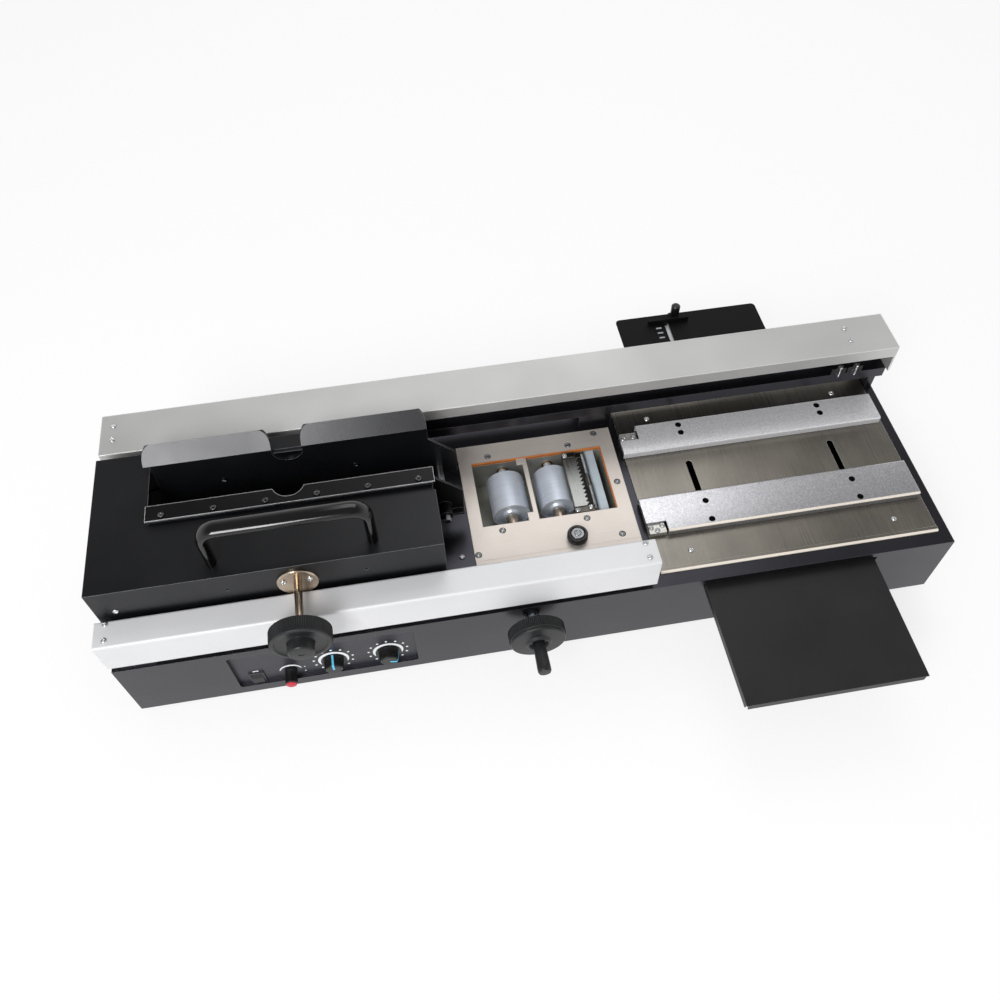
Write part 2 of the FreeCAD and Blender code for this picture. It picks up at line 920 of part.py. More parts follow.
def beam_top():
    return d.rear_rail_top - d.rear_cover_wall


def lip_top():
    return d.beam_bottom + d.beam_lip_height


def beam_front():
    return d.rear_rail_front + d.beam_setback


def beam_rear():
    return d.base_depth - d.rear_cover_wall


def rear_beam():
    """The black channel of the linear guide, open to the front, welded to three pedestals."""
    body = new_body("rear_beam")
    back = beam_rear()
    inner = back - d.beam_wall
    top = beam_top()
    flange_front = beam_front() + 18
    profile = poly(
        [
            (beam_front(), d.beam_bottom),
            (back, d.beam_bottom),
            (back, top),
            (flange_front, top),
            (flange_front, top - 3),
            (inner, top - 3),
            (inner, lip_top()),
            (beam_front(), lip_top()),
        ]
    )
    edge = d.rear_cover_wall
    pad(body, "YZ", edge, [profile], d.base_length - 2 * edge)
    rear = back - 3
    front = rear - d.post_depth
    right = d.base_length - d.sheet_wall
    posts = [
        rect(d.sheet_wall, front, d.sheet_wall + d.left_post_width, rear),
        rect(d.middle_post_right - d.middle_post_width, front, d.middle_post_right, rear),
        rect(right - d.right_post_width, front, right, rear),
    ]
    pad(body, "XY", d.base_height, posts, d.beam_bottom - d.base_height)


def rear_rail_cover():
    """The folded aluminium cover over the rear beam, with a closing plate at each end."""
    body = new_body("rear_rail_cover")
    wall = d.rear_cover_wall
    front, back, top = d.rear_rail_front, d.base_depth, d.rear_rail_top
    profile = poly(
        [
            (front, top - d.rear_front_flange),
            (front, top),
            (back, top),
            (back, top - d.rear_back_flange),
            (back - wall, top - d.rear_back_flange),
            (back - wall, top - wall),
            (front + wall, top - wall),
            (front + wall, top - d.rear_front_flange),
        ]
    )
    pad(body, "YZ", 0, [profile], d.base_length)
    end = rect(front, top - d.end_plate_height, back, top)
    pad(body, "YZ", 0, [end], wall)
    pad(body, "YZ", d.base_length - wall, [end], wall)
    pocket(body, "XY", top - wall, [screw_hole(x, y) for x, y in cover_screws()], wall)


def cover_screws():
    """The four screws on top of the rear cover, as (x, y)."""
    columns = (15, d.base_length - 57)
    rows = (d.rear_rail_front + 22, d.base_depth - 18)
    return [(x, y) for x in columns for y in rows]


def guide_front():
    return beam_rear() - d.beam_wall - d.guide_inset - d.guide_width / 2


def linear_rail():
    """The ground steel guide rail along the beam, waisted where the balls run."""
    body = new_body("linear_rail")
    front = guide_front()
    back = front + d.guide_width
    low = lip_top()
    profile = poly(
        [
            (front, low),
            (back, low),
            (back, low + 3),
            (back - d.guide_groove, low + 5),
            (back, low + 7),
            (back, low + d.guide_height),
            (front, low + d.guide_height),
            (front, low + 7),
            (front + d.guide_groove, low + 5),
            (front, low + 3),
        ]
    )
    pad(body, "YZ", 12, [profile], d.base_length - 24)


def switch_left():
    return d.base_length - d.switch_inset


def lever_pin(number):
    """The hinge pin of one switch lever, as (x, z)."""
    across = switch_left() + number * d.switch_spacing + d.switch_length / 2
    return across, lip_top() + d.switch_height + d.lever_pin_radius + 1.2


def limit_switches():
    """Two snap switches at the right end of the beam, each with an ear for its lever's pin."""
    body = new_body("limit_switches")
    front = beam_front() + 0.4
    boxes = []
    ears = []
    bores = []
    for k in range(2):
        left = switch_left() + k * d.switch_spacing
        boxes.append(rect(left, front, left + d.switch_length, front + d.switch_width))
        x, z = lever_pin(k)
        ears.append(rect(x - 4, lip_top() + d.switch_height, x + 4, z + 3))
        bores.append(disc(x, z, d.lever_pin_radius + d.running_fit))
    pad(body, "XY", lip_top(), boxes, d.switch_height)
    pad(body, "XZ", front, ears, d.switch_width)
    pocket(body, "XZ", front, bores, d.switch_width)


def switch_lever(name, number):
    """The sprung lever of one limit switch, hung in front of the beam on its own pin."""
    body = new_body(name)
    x, z = lever_pin(number)
    blade = rect(x - 0.6, z - d.lever_length, x + 0.6, z + 1)
    front = d.rear_rail_front + d.rear_cover_wall + 0.4
    pad(body, "XZ", front, [blade], 2.4)
    pad(body, "XZ", front, [disc(x, z, d.lever_pin_radius)], beam_front() + d.switch_width - front)


# ------------------------------------------------------------- glue ----

def tank_left():
    return d.window_left - d.tank_wall


def tank_right():
    return d.window_right + d.tank_wall


def tank_front():
    return d.window_front - d.tank_wall


def tank_rear():
    return d.window_rear + d.tank_wall


def second_across():
    return d.roller_across + d.roller_spacing


def idler_across():
    return d.roller_across + d.roller_spacing / 2


def glue_cover_plate():
    """The stainless deck plate, pierced by a window for each roller with a bridge between."""
    body = new_body("glue_cover_plate")
    low = d.base_height
    pad(body, "XY", low, [rect(d.plate_left, d.plate_front, d.plate_right, d.plate_rear)], d.plate_wall)
    notch = d.bridge_left + d.bridge_notch
    first = poly(
        [
            (d.window_left, d.window_front),
            (d.bridge_left, d.window_front),
            (d.bridge_left, d.bridge_notch_front),
            (notch, d.bridge_notch_front),
            (notch, d.bridge_notch_rear),
            (d.bridge_left, d.bridge_notch_rear),
            (d.bridge_left, d.window_rear),
            (d.window_left, d.window_rear),
        ]
    )
    second = rect(d.bridge_left + d.bridge_width, d.window_front, d.window_right, d.window_rear)
    stem = disc(d.film_knob_across, d.film_knob_back, d.film_stem_radius + d.running_fit)
    holes = [screw_hole(x, y) for x, y in plate_screws()]
    pocket(body, "XY", low, [first, second, stem] + holes, d.plate_wall)


def plate_screws():
    """The eight screws round the edge of the deck plate, as (x, y)."""
    inset = d.plate_screw_inset
    return [
        (d.window_left + 23, d.window_rear + inset),
        (d.window_right - 41, d.window_rear + inset),
        (d.plate_right - 21.5, d.plate_rear - inset + 2),
        (d.plate_right - inset, d.plate_front + 87),
        (d.plate_right - 21.5, d.plate_front + inset),
        (d.window_left + 23, d.window_front - inset),
        (d.window_right - 41, d.window_front - inset),
        (d.plate_left + inset / 2, d.plate_front + inset),
    ]


def glue_tank():
    """The cast tank: open above, bored for the roller bushes, with an idler stud and two legs."""
    body = new_body("glue_tank")
    outer = rounded(tank_left(), tank_front(), tank_right(), tank_rear(), 5)
    inner = rounded(d.window_left, d.window_front, d.window_right, d.window_rear, 3)
    pad(body, "XY", d.tank_bottom, [outer], d.tank_top - d.tank_bottom)
    pocket(body, "XY", d.tank_floor, [inner], d.tank_top - d.tank_floor)
    bore = d.roller_bush_radius
    holes = [disc(d.roller_across, d.roller_axis, bore), disc(second_across(), d.roller_axis, bore)]
    pocket(body, "XZ", tank_front(), holes, tank_rear() - tank_front())
    notch_left = d.film_knob_across - d.blade_arm_width / 2 - 1
    notch = rect(
        notch_left,
        blade_arm_low() - d.blade_travel - 1,
        notch_left + d.blade_arm_width + 14,
        d.tank_top,
    )
    pocket(body, "XZ", tank_front(), [notch], d.tank_wall)
    stud = [disc(idler_across(), d.roller_axis, d.stud_radius)]
    pad(body, "XZ", tank_rear(), stud, d.gear_front + d.gear_width - tank_rear() + 2)
    low = d.pan_wall
    leg = d.tank_leg_wall
    for left in (tank_left() + 1, tank_right() - 1 - d.tank_leg_width):
        foot = rect(left, tank_front() + 4, left + d.tank_leg_width, tank_rear() - 4)
        web = rect(left, tank_front() + 4, left + leg, tank_rear() - 4)
        pad(body, "XY", low, [foot], leg)
        pad(body, "XY", low, [web], d.tank_bottom - low)


def tank_seal():
    """The amber heat-proof gasket between the tank's rim and the deck plate."""
    body = new_body("tank_seal")
    outer = rounded(tank_left(), tank_front(), tank_right(), tank_rear(), 5)
    inner = rounded(d.window_left, d.window_front, d.window_right, d.window_rear, 3)
    pad(body, "XY", d.tank_top, [outer, inner], d.base_height - d.tank_top)


def heater_plate():
    """The electric heating plate clamped under the tank."""
    body = new_body("heater_plate")
    m = d.heater_margin
    outline = rounded(tank_left() + m, tank_front() + m, tank_right() - m, tank_rear() - m, 4)
    pad(body, "XY", d.tank_bottom - d.heater_wall, [outline], d.heater_wall)


def roller_bushes():
    """Four flanged bronze bushes that carry the two roller shafts in the tank walls."""
    body = new_body("roller_bushes")
    bore = d.shaft_radius + d.running_fit
    flange = d.roller_bush_radius + 2.5
    for x in (d.roller_across, second_across()):
        for face, way in ((tank_front(), 1), (tank_rear(), -1)):
            back = face - way * 1.5
            inner = face + way * d.tank_wall
            profile = [
                (back, bore),
                (back, flange),
                (face, flange),
                (face, d.roller_bush_radius),
                (inner, d.roller_bush_radius),
                (inner, bore),
            ]
            turned(body, "y", (x, d.roller_axis), profile)


def glue_roller(name, across, radius, shaft_front):
    """An aluminium roller with dished ends, turned in one with its two journals."""
    body = new_body(name)
    front = d.roller_front
    rear = front + d.roller_length
    r = d.shaft_radius
    hub = r + 4
    shaft_rear = d.gear_front + d.gear_width + 2
    profile = [
        (shaft_front, 0),
        (shaft_front, r),
        (front, r),
        (front, hub),
        (front + d.roller_dish, hub + 2),
        (front + d.roller_dish, radius - 3),
        (front, radius - 2),
        (front, radius),
        (rear, radius),
        (rear, radius - 2),
        (rear - d.roller_dish, radius - 3),
        (rear - d.roller_dish, hub + 2),
        (rear, hub),
        (rear, r),
        (shaft_rear, r),
        (shaft_rear, 0),
    ]
    turned(body, "y", (across, d.roller_axis), profile)


def involute(angle, base):
    """The point that a taut thread's end reaches after unwinding by ANGLE from the base circle."""
    x = base * (math.cos(angle) + angle * math.sin(angle))
    y = base * (math.sin(angle) - angle * math.cos(angle))
    return math.hypot(x, y), math.atan2(y, x)


def gear(name, across, teeth, bore):
    """A spur gear with involute flanks, thinned for play, whose first tooth points along +x."""
    module = float(d.gear_module)
    pitch = module * teeth / 2
    base = pitch * math.cos(math.radians(20))
    tip = pitch + 0.85 * module
    root = pitch - 1.2 * module
    start = max(base, root + 0.05)
    radii = [start + (tip - start) * k / 2 for k in range(3)]
    pitch_lean = involute(math.sqrt((pitch / base) ** 2 - 1), base)[1]
    half_tooth = math.pi / (2 * teeth) - float(d.gear_play) / pitch
    corners = []
    for tooth in range(teeth):
        middle = 2 * math.pi * tooth / teeth
        flank = []
        for radius in radii:
            unwound = math.sqrt(max((radius / base) ** 2 - 1, 0))
            lean = involute(unwound, base)[1]
            flank.append((radius, half_tooth + pitch_lean - lean))
        rising = [(root, -flank[0][1])] + [(radius, -lean) for radius, lean in flank]
        falling = [(radius, lean) for radius, lean in reversed(flank)] + [(root, flank[0][1])]
        for radius, lean in rising + falling:
            x = float(dim(across)) + radius * math.cos(middle + lean)
            z = float(d.roller_axis) + radius * math.sin(middle + lean)
            corners.append(FreeCAD.Vector(x, float(d.gear_front), z))
    outline = Part.makePolygon(corners + corners[:1])
    blank = Part.Face(outline).extrude(FreeCAD.Vector(0, float(d.gear_width), 0))
    seat = FreeCAD.Vector(float(dim(across)), float(d.gear_front) - 1, float(d.roller_axis))
    hole = Part.makeCylinder(bore, float(d.gear_width) + 2, seat, FreeCAD.Vector(0, 1, 0))
    feature = doc.addObject("Part::Feature", name)
    feature.Label = name
    feature.Shape = blank.cut(hole)
    locate(feature)
    pieces.append(feature)


def handwheel():
    """The moulded handwheel on the front end of the first roller's shaft, with its grip."""
    body = new_body("handwheel")
    back = d.wheel_back
    front = back - d.wheel_width
    r = d.wheel_radius
    collar = d.wheel_collar_radius
    bore = d.shaft_radius
    boss = front - d.wheel_boss_length
    end = boss - d.grip_length
    grip = d.grip_radius
    profile = [
        (d.wheel_collar_rear, bore),
        (d.wheel_collar_rear, collar),
        (back + 2, collar),
        (back + 2, r - 8),
        (back, r - 6),
        (back, r - 1.5),
        (back - 1.5, r),
        (front + 1.5, r),
        (front, r - 1.5),
        (front, d.wheel_boss_radius),
        (boss, d.wheel_boss_radius - 1),
        (boss, grip + 2),
        (boss - 2, grip + 2),
        (boss - 3.5, grip - 1),
        (end + 6, grip),
        (end + 1.5, grip),
        (end, grip - 1.5),
        (end, 0),
        (front + 6, 0),
        (front + 6, bore),
    ]
    centre = (d.roller_across, d.roller_axis)
    turned(body, "y", centre, profile)
    rim = r + d.knob_flute_radius * 0.4
    fluted(body, "XZ", front - 1, centre, rim, d.knob_flute_radius, d.knob_flutes, d.wheel_width + 2)


def blade_right():
    return d.blade_left + d.blade_width


def blade_arm_low():
    return d.blade_bottom - 3


def blade_frame():
    """The doctor blade's carrier: two long bars, two end blocks and the arm to its screw."""
    body = new_body("blade_frame")
    low = d.blade_bottom
    left, right = d.blade_left, blade_right()
    bar = d.blade_bar
    outer = rect(left, d.blade_front, right, d.blade_rear)
    inner = rect(left + bar, d.blade_front + d.blade_block, right - bar, d.blade_rear - d.blade_block)
    pad(body, "XY", low, [outer, inner], d.blade_bar_height)
    half = d.blade_arm_width / 2
    arm_low = blade_arm_low()
    reach = d.film_knob_back - half
    arm = rounded(d.film_knob_across - half, reach, d.film_knob_across + half, d.blade_front + 2, 4)
    pad(body, "XY", arm_low, [arm], 3)
    tail = rect(left, d.blade_front - 2, left + 16, d.blade_front + d.blade_block)
    pad(body, "XY", arm_low, [tail], 3)
    bore = disc(d.film_knob_across, d.film_knob_back, d.film_stem_radius + d.running_fit)
    pocket(body, "XY", arm_low, [bore], 3)


def doctor_blade():
    """The toothed steel strip that meters the film on the second roller."""
    body = new_body("doctor_blade")
    front = d.blade_front + d.blade_block
    rear = d.blade_rear - d.blade_block
    left = d.blade_left + 1
    pitch = (rear - front) / d.blade_teeth
    root = blade_right() - d.blade_bar - 8
    points = [(left, rear), (left, front)]
    for k in range(int(float(d.blade_teeth))):
        points.append((root, front + pitch * k))
        points.append((root + d.blade_tooth, front + pitch * (k + 0.7)))
    points.append((root, rear))
    pad(body, "XY", d.blade_bottom + d.blade_bar_height, [poly(points)], 1.2)


def film_knob():
    """The knurled thumb screw that lifts and lowers the doctor blade."""
    body = new_body("film_knob")
    low = d.base_height + d.plate_wall + 0.3
    r = d.film_knob_radius
    stem = d.film_stem_radius
    high = low + d.film_knob_height
    profile = [
        (d.blade_bottom - d.blade_travel - 6, 0),
        (d.blade_bottom - d.blade_travel - 6, stem),
        (low, stem),
        (low, r - 1),
        (low + 1, r),
        (high - 1, r),
        (high, r - 1),
        (high, r - 4),
        (high - 1.5, r - 5),
        (high - 1.5, 4),
        (high + 1, 4),
        (high + 1, 0),
    ]
    turned(body, "z", (d.film_knob_across, d.film_knob_back), profile)


def wiper_bar():
    """The bent strip that takes surplus glue off the spine and lets it run back."""
    body = new_body("wiper_bar")
    left = d.wiper_left
    right = left + d.wiper_width
    top = d.wiper_top
    w = d.wiper_wall
    profile = poly(
        [
            (left, top - 4),
            (left + 2, top - 2),
            (right - w, top - w),
            (right - w, d.tank_floor),
            (right, d.tank_floor),
            (right, top),
            (left + 2, top),
            (left, top - 2),
        ]
    )
    pad(body, "XZ", d.window_front, [profile], d.window_rear - d.window_front)


# --------------------------------------------------------- cover station ----

def tray_top():
    return d.base_height + d.tray_wall


def post_slot(x):
    """The slot in which a nipper post travels."""
    half = d.post_width / 2 + d.fit_gap
    front = d.post_front - 1.5
    rear = d.post_front + d.post_length + d.post_slot_travel
    return rounded(x - half, front, x + half, rear, half - 0.05)


def cover_tray():
    """The stainless tray on which the cover sheet lies, slotted for the nipper posts."""
    body = new_body("cover_tray")
    low = d.base_height
    pad(body, "XY", low, [rect(d.tray_left, d.tray_front, d.tray_right, d.tray_rear)], d.tray_wall)
    hem = rect(d.tray_left, d.tray_front, d.tray_right, d.tray_front + d.tray_hem)
    pad(body, "XY", tray_top(), [hem], 1)
    slots = [post_slot(d.post_left), post_slot(d.post_left + d.post_spacing)]
    holes = [screw_hole(x, y) for x, y in tray_screws()]
    pocket(body, "XY", low, slots + holes, d.tray_wall)


def tray_screws():
    """The four screws of the tray, as (x, y)."""
    columns = (d.tray_left + 44.5, d.tray_right - 47)
    rows = (d.tray_front + 25, d.tray_rear - 44.5)
    return [(x, y) for x in columns for y in rows]


def nipper(name, front, depth, notch_front, bracket, holes):
    """A folded channel that presses the cover, notched at its left end over a steel bracket.

    BRACKET holds the front and rear of the bracket, which is welded to one of the flanges.
    """
    body = new_body(name)
    wall = d.nipper_wall
    low = tray_top() + d.nipper_lift
    top = d.nipper_top
    rear = front + depth
    profile = poly(
        [
            (front, low),
            (front + wall, low),
            (front + wall, top - wall),
            (rear - wall, top - wall),
            (rear - wall, low),
            (rear, low),
            (rear, top),
            (front, top),
        ]
    )
    pad(body, "YZ", d.nipper_left, [profile], d.nipper_right - d.nipper_left)
    left = d.nipper_left + 1.5
    plate = rect(left, bracket[0], left + d.nipper_notch - 3, bracket[1])
    pad(body, "XY", low, [plate], d.nipper_bracket_height)
    notch_right = d.nipper_left + d.nipper_notch
    notch = rect(d.nipper_left, notch_front, notch_right, notch_front + d.nipper_notch_depth)
    pocket(body, "XY", top - wall, [notch], wall)
    pocket(body, "XY", top - wall, [disc(x, y, d.nipper_hole_radius) for x, y in holes], wall)
    return body


def hole_places(rows):
    return [(x, y) for x in (d.post_left, d.post_left + d.post_spacing) for y in rows]


def front_nipper_rear():
    return d.front_nipper_front + d.front_nipper_depth


def rear_nipper():
    """The fixed nipper on its two seats; the book's back face stands in the same plane."""
    face = d.book_face
    rear = face + d.rear_nipper_depth - d.nipper_wall
    rows = (face + 22, face + 35)
    body = nipper(
        "rear_nipper", face, d.rear_nipper_depth, face + 16, (face + 14, rear), hole_places(rows)
    )
    seats = []
    for x in (d.post_left, d.post_left + d.post_spacing):
        seats.append(rect(x - 12, face + d.nipper_wall + 6, x + 12, rear - 2))
    low = tray_top()
    pad(body, "XY", low, seats, d.nipper_top - d.nipper_wall - low)


def front_nipper():
    """The moving nipper."""
    front = d.front_nipper_front
    rows = (d.post_front + 3, d.post_front + d.post_length - 1)
    bracket = (front + d.nipper_wall, front + 19)
    nipper("front_nipper", front, d.front_nipper_depth, front + 5, bracket, hole_places(rows))


def yoke_front():
    return d.post_front + 3


def yoke_rear():
    return d.post_front + d.post_length - 3


def nip_yoke():
    """The cross bar under the tray, with the two posts that carry the moving nipper."""
    body = new_body("nip_yoke")
    left = d.post_left - d.yoke_overhang
    right = d.post_left + d.post_spacing + d.yoke_overhang
    low = d.yoke_axis - d.yoke_height / 2
    high = low + d.yoke_height
    pad(body, "XY", low, [rect(left, yoke_front(), right, yoke_rear())], d.yoke_height)
    half = d.post_width / 2
    posts = []
    for x in (d.post_left, d.post_left + d.post_spacing):
        rear = d.post_front + d.post_length
        posts.append(rounded(x - half, d.post_front, x + half, rear, half - 0.2))
    pad(body, "XY", high, posts, d.nipper_top - d.nipper_wall - high)
    bores = [disc(nip_middle(), d.yoke_axis, d.nip_screw_radius + d.running_fit)]
    for side in (-1, 1):
        across = nip_middle() + side * d.nip_rod_spread
        bores.append(disc(across, d.yoke_axis, d.nip_rod_radius + d.running_fit))
    pocket(body, "XZ", yoke_front(), bores, yoke_rear() - yoke_front())


def nip_middle():
    return d.post_left + d.post_spacing / 2


def nip_frame():
    """The welded frame under the deck, with the two guide rods pressed into it."""
    body = new_body("nip_frame")
    wall = d.nip_frame_wall
    left = d.post_left - d.yoke_overhang - d.nip_frame_margin - wall
    right = d.post_left + d.post_spacing + d.yoke_overhang + d.nip_frame_margin + wall
    front, rear = d.nip_frame_front, d.nip_frame_rear
    low = d.yoke_axis - d.yoke_height / 2 - 2
    high = d.base_height - d.sheet_wall
    outer = rect(left, front, right, rear)
    inner = rect(left + wall, front + wall, right - wall, rear - wall)
    pad(body, "XY", low, [outer, inner], high - low)
    screw = disc(nip_middle(), d.yoke_axis, d.nip_screw_radius + d.running_fit)
    pocket(body, "XZ", front, [screw], rear - front)
    rods = []
    for side in (-1, 1):
        across = nip_middle() + side * d.nip_rod_spread
        rods.append(disc(across, d.yoke_axis, d.nip_rod_radius))
    pad(body, "XZ", front, rods, rear - front)


def nip_screw():
    """The lead screw that the gearmotor turns."""
    body = new_body("nip_screw")
    r = d.nip_screw_radius
    front = d.nip_frame_front + 1
    rear = d.nip_frame_rear + 6
    profile = [
        (front, 0),
        (front, r - 1),
        (front + 1, r),
        (rear - 1, r),
        (rear, r - 1),
        (rear, 0),
    ]
    turned(body, "y", (nip_middle(), d.yoke_axis), profile)


def nip_motor():
    """The gearmotor bolted behind the frame."""
    body = new_body("nip_motor")
    front = d.nip_frame_rear
    r = d.motor_radius
    bore = d.nip_screw_radius + 1
    rear = front + d.motor_length
    profile = [
        (front, bore),
        (front, r + 2),
        (front + 14, r + 2),
        (front + 14, r),
        (rear, r),
        (rear, 0),
        (front + 8, 0),
        (front + 8, bore),
    ]
    turned(body, "y", (nip_middle(), d.yoke_axis), profile)


# ------------------------------------------------------------- tables ----

def front_table():
    """The folded shelf that carries the front half of a cover sheet."""
    body = new_body("front_table")
    wall = d.table_wall
    top = d.front_table_top
    left = d.table_left
    right = left + d.table_width
    front = -d.table_reach
    inner = d.sheet_wall
    pad(body, "XY", top - wall, [rect(left, front, right, inner + wall)], wall)
    flange_low = top - d.table_flange
    pad(
        body,
        "XZ",
        front,
        [rect(left + d.table_relief, flange_low, right - d.table_relief, top - wall)],
        wall,
    )
    side = rect(front + d.table_relief, flange_low, -0.6, top - wall)
    pad(body, "YZ", left, [side], wall)
    pad(body, "YZ", right - wall, [side], wall)
    tab = rect(left + 6, top - d.table_tab, right - 6, top - wall)
    pad(body, "XZ", inner, [tab], wall)


def fence_front():
    return d.base_depth + d.fence_setback


def fence_knob_back():
    return fence_front() + d.fence_knob_setback


def rear_table():
    """The flat shelf behind the machine, slotted for the stop fence."""
    body = new_body("rear_table")
    wall = d.table_wall
    top = d.rear_table_top
    left = d.table_left
    right = left + d.table_width
    inner = d.base_depth - d.sheet_wall
    rear = d.base_depth + d.table_reach
    corner = d.table_corner
    pad(body, "XY", top - wall, [rounded(left, rear - 3 * corner, right, rear, corner)], wall)
    pad(body, "XY", top - wall, [rect(left, inner - wall, right, rear - 1.5 * corner)], wall)
    half = d.fence_slot_width / 2
    slot = rounded(
        d.fence_slot_across - half,
        fence_front() + 2 - d.fence_travel - half - 0.6,
        d.fence_slot_across + half,
        fence_front() + 2 + half + 0.3,
        half - 0.1,
    )
    pocket(body, "XY", top - wall, [slot], wall)
    tab = rect(left + 6, top - d.table_tab, right - 6, top - wall)
    pad(body, "XZ", inner - wall, [tab], wall)


def stop_fence():
    """The cover stop: a bar with a guide pin in the table's slot and a boss for its lock."""
    body = new_body("stop_fence")
    low = d.rear_table_top + d.fit_gap
    front = fence_front()
    rear = front + d.fence_wall
    right = d.fence_left + d.fence_length
    pad(body, "XY", low, [rect(d.fence_left, front, right, rear)], d.fence_height)
    boss_rear = fence_knob_back() + 6
    x = d.fence_knob_across
    pad(body, "XY", low, [rounded(x - 9, front + 1, x + 9, boss_rear, 3)], 4)
    pin = disc(d.fence_slot_across, front + 2, d.fence_slot_width / 2 - d.fit_gap - 0.1)
    pad(body, "XY", low - d.table_wall - d.fit_gap - 2, [pin], d.table_wall + d.fit_gap + 2)
    hole = disc(x, fence_knob_back(), d.fence_stem_radius + d.running_fit)
    pocket(body, "XY", low, [hole], 4)


def fence_knob():
    """The lock screw of the stop fence; it presses on the table."""
    body = new_body("fence_knob")
    low = d.rear_table_top + d.fit_gap
    r = d.fence_knob_radius
    stem = d.fence_stem_radius
    head = low + 4.4
    high = head + d.fence_knob_height
    profile = [
        (low + 0.2, 0),
        (low + 0.2, stem),
        (head, stem),
        (head, r - 1),
        (head + 1, r),
        (high - 2, r),
        (high, r - 2),
        (high, 0),
    ]
    turned(body, "z", (d.fence_knob_across, fence_knob_back()), profile)


# ----------------------------------------------------------- carriage ----

def carriage_right():
    return d.carriage_left + d.carriage_length


def carriage_rear():
    return d.carriage_front + d.carriage_depth


def front_face():
    """Where the front jaw's clamping face stands when the jaw is wide open."""
    return d.book_face - d.jaw_opening


def carriage_cover():
    """The black box of the carriage, slotted from the right for the book."""
    body = new_body("carriage_cover")
    left, right = d.carriage_left, carriage_right()
    front, rear = d.carriage_front, carriage_rear()
    wall = d.carriage_wall
    low = d.carriage_bottom
    height = d.carriage_top - low
    pad(body, "XY", low, [rect(left, front, right, rear)], height)
    inside = rect(left + wall, front + wall, right - wall, rear - wall)
    pocket(body, "XY", low, [inside], height - wall)
    slot_front = front_face() - d.jaw_wall - d.slot_front_margin
    slot_rear = d.book_face + d.jaw_wall + d.slot_rear_margin
    slot = rect(d.slot_left, slot_front, right + 1, slot_rear)
    pocket(body, "XY", d.carriage_top - wall, [slot], wall)
    side_front = front_face() - d.strip_depth - 6
    gate = rect(side_front, low - 1, slot_rear, d.carriage_top + 1)
    pocket(body, "YZ", right - wall - 1, [gate], wall + 2)
    arm_gate = rect(left + 14, arm_low() - 1.5, right - 14, arm_low() + d.arm_thickness + 1.5)
    pocket(body, "XZ", rear - wall - 1, [arm_gate], wall + 2)
    spindle = disc(d.clamp_across, d.clamp_height, d.clamp_shaft_radius + 2)
    shoe_gate = rect(
        d.shoe_left - 2, shoe_low() - 1, d.shoe_left + d.shoe_length + 2, shoe_high() + 1
    )
    fixing = screw_hole(*wall_screw())
    spare = [screw_hole(x, z) for x, z in spare_holes()]
    pocket(body, "XZ", front - 1, [spindle, shoe_gate, fixing] + spare, wall + 2)


def spare_holes():
    """The two open screw holes in the carriage's front wall, as (x, z)."""
    spread = d.spare_hole_spread
    return [(d.clamp_across + across, d.spare_hole_height) for across in (-spread, spread)]


def arm_low():
    return lip_top() + d.fit_gap * 10 + d.block_height


def shoe_low():
    return groove_top() - d.shoe_groove_height + d.fit_gap


def shoe_high():
    return groove_top() - d.fit_gap


def carriage_frame():
    """The welded chassis: front plate, left rib, rear plate and the arm over the guide."""
    body = new_body("carriage_frame")
    wall = d.frame_wall
    left = d.carriage_left + d.carriage_wall
    right = carriage_right() - d.carriage_wall
    front = d.carriage_front + d.carriage_wall
    rear_plate = d.book_face + d.jaw_wall
    low = d.frame_bottom
    high = d.carriage_top - d.carriage_wall
    pad(body, "XZ", front, [rect(left, low, right, high)], wall)
    pad(body, "XZ", rear_plate, [rect(left, low, right, high)], wall)
    rib = rect(front, low, rear_plate + wall, high)
    pad(body, "YZ", left, [rib], d.frame_rib)
    arm_rear = guide_front() + d.guide_width / 2 + d.block_width / 2
    arm = rect(left + 16, rear_plate + 1, right - 12, arm_rear)
    pad(body, "XY", arm_low(), [arm], d.arm_thickness)
    bore = disc(d.clamp_across, d.clamp_height, d.clamp_collar_radius + 1)
    pocket(body, "XZ", front, [bore], wall)


def bearing_blocks():
    """The two recirculating-ball blocks that straddle the guide rail."""
    body = new_body("bearing_blocks")
    gap = d.fit_gap
    middle = guide_front() + d.guide_width / 2
    half = d.block_width / 2
    low = lip_top() + gap * 10
    inner = d.guide_width / 2 + gap
    roof = lip_top() + d.guide_height + gap
    profile = poly(
        [
            (middle - half, low),
            (middle - inner, low),
            (middle - inner, roof),
            (middle + inner, roof),
            (middle + inner, low),
            (middle + half, low),
            (middle + half, low + d.block_height - 3),
            (middle + half - 3, low + d.block_height),
            (middle - half + 3, low + d.block_height),
            (middle - half, low + d.block_height - 3),
        ]
    )
    for left in (d.first_block_left, d.second_block_left):
        pad(body, "YZ", left, [profile], d.block_length)


def slide_shoe():
    """The plastic shoe that runs in the groove behind the front rail."""
    body = new_body("slide_shoe")
    rear = d.carriage_front + d.carriage_wall
    front = rail_back() - d.shoe_groove_depth + 1
    right = d.shoe_left + d.shoe_length
    pad(body, "XY", shoe_low(), [rounded(d.shoe_left, front, right, rear, 1.5)], shoe_high() - shoe_low())


def jaw_outline(top, extra_left):
    """The face of a jaw: full width above, longer below so that it spans the guide rods."""
    left = d.slot_left + 2
    ear = d.jaw_left - extra_left
    return poly(
        [
            (ear, d.jaw_bottom),
            (d.jaw_reach, d.jaw_bottom),
            (d.jaw_reach, d.jaw_shoulder),
            (d.jaw_right, d.jaw_chamfer_top),
            (d.jaw_right, top),
            (left, top),
            (left, d.jaw_shoulder + 6),
            (ear, d.jaw_shoulder),
        ]
    )


def thumb_notch(centre, floor, top):
    """A U-shaped gap, open above, for taking hold of the pages."""
    half = d.thumb_gap_width / 2
    return rounded(centre - half, floor, centre + half, top, half - 0.1)


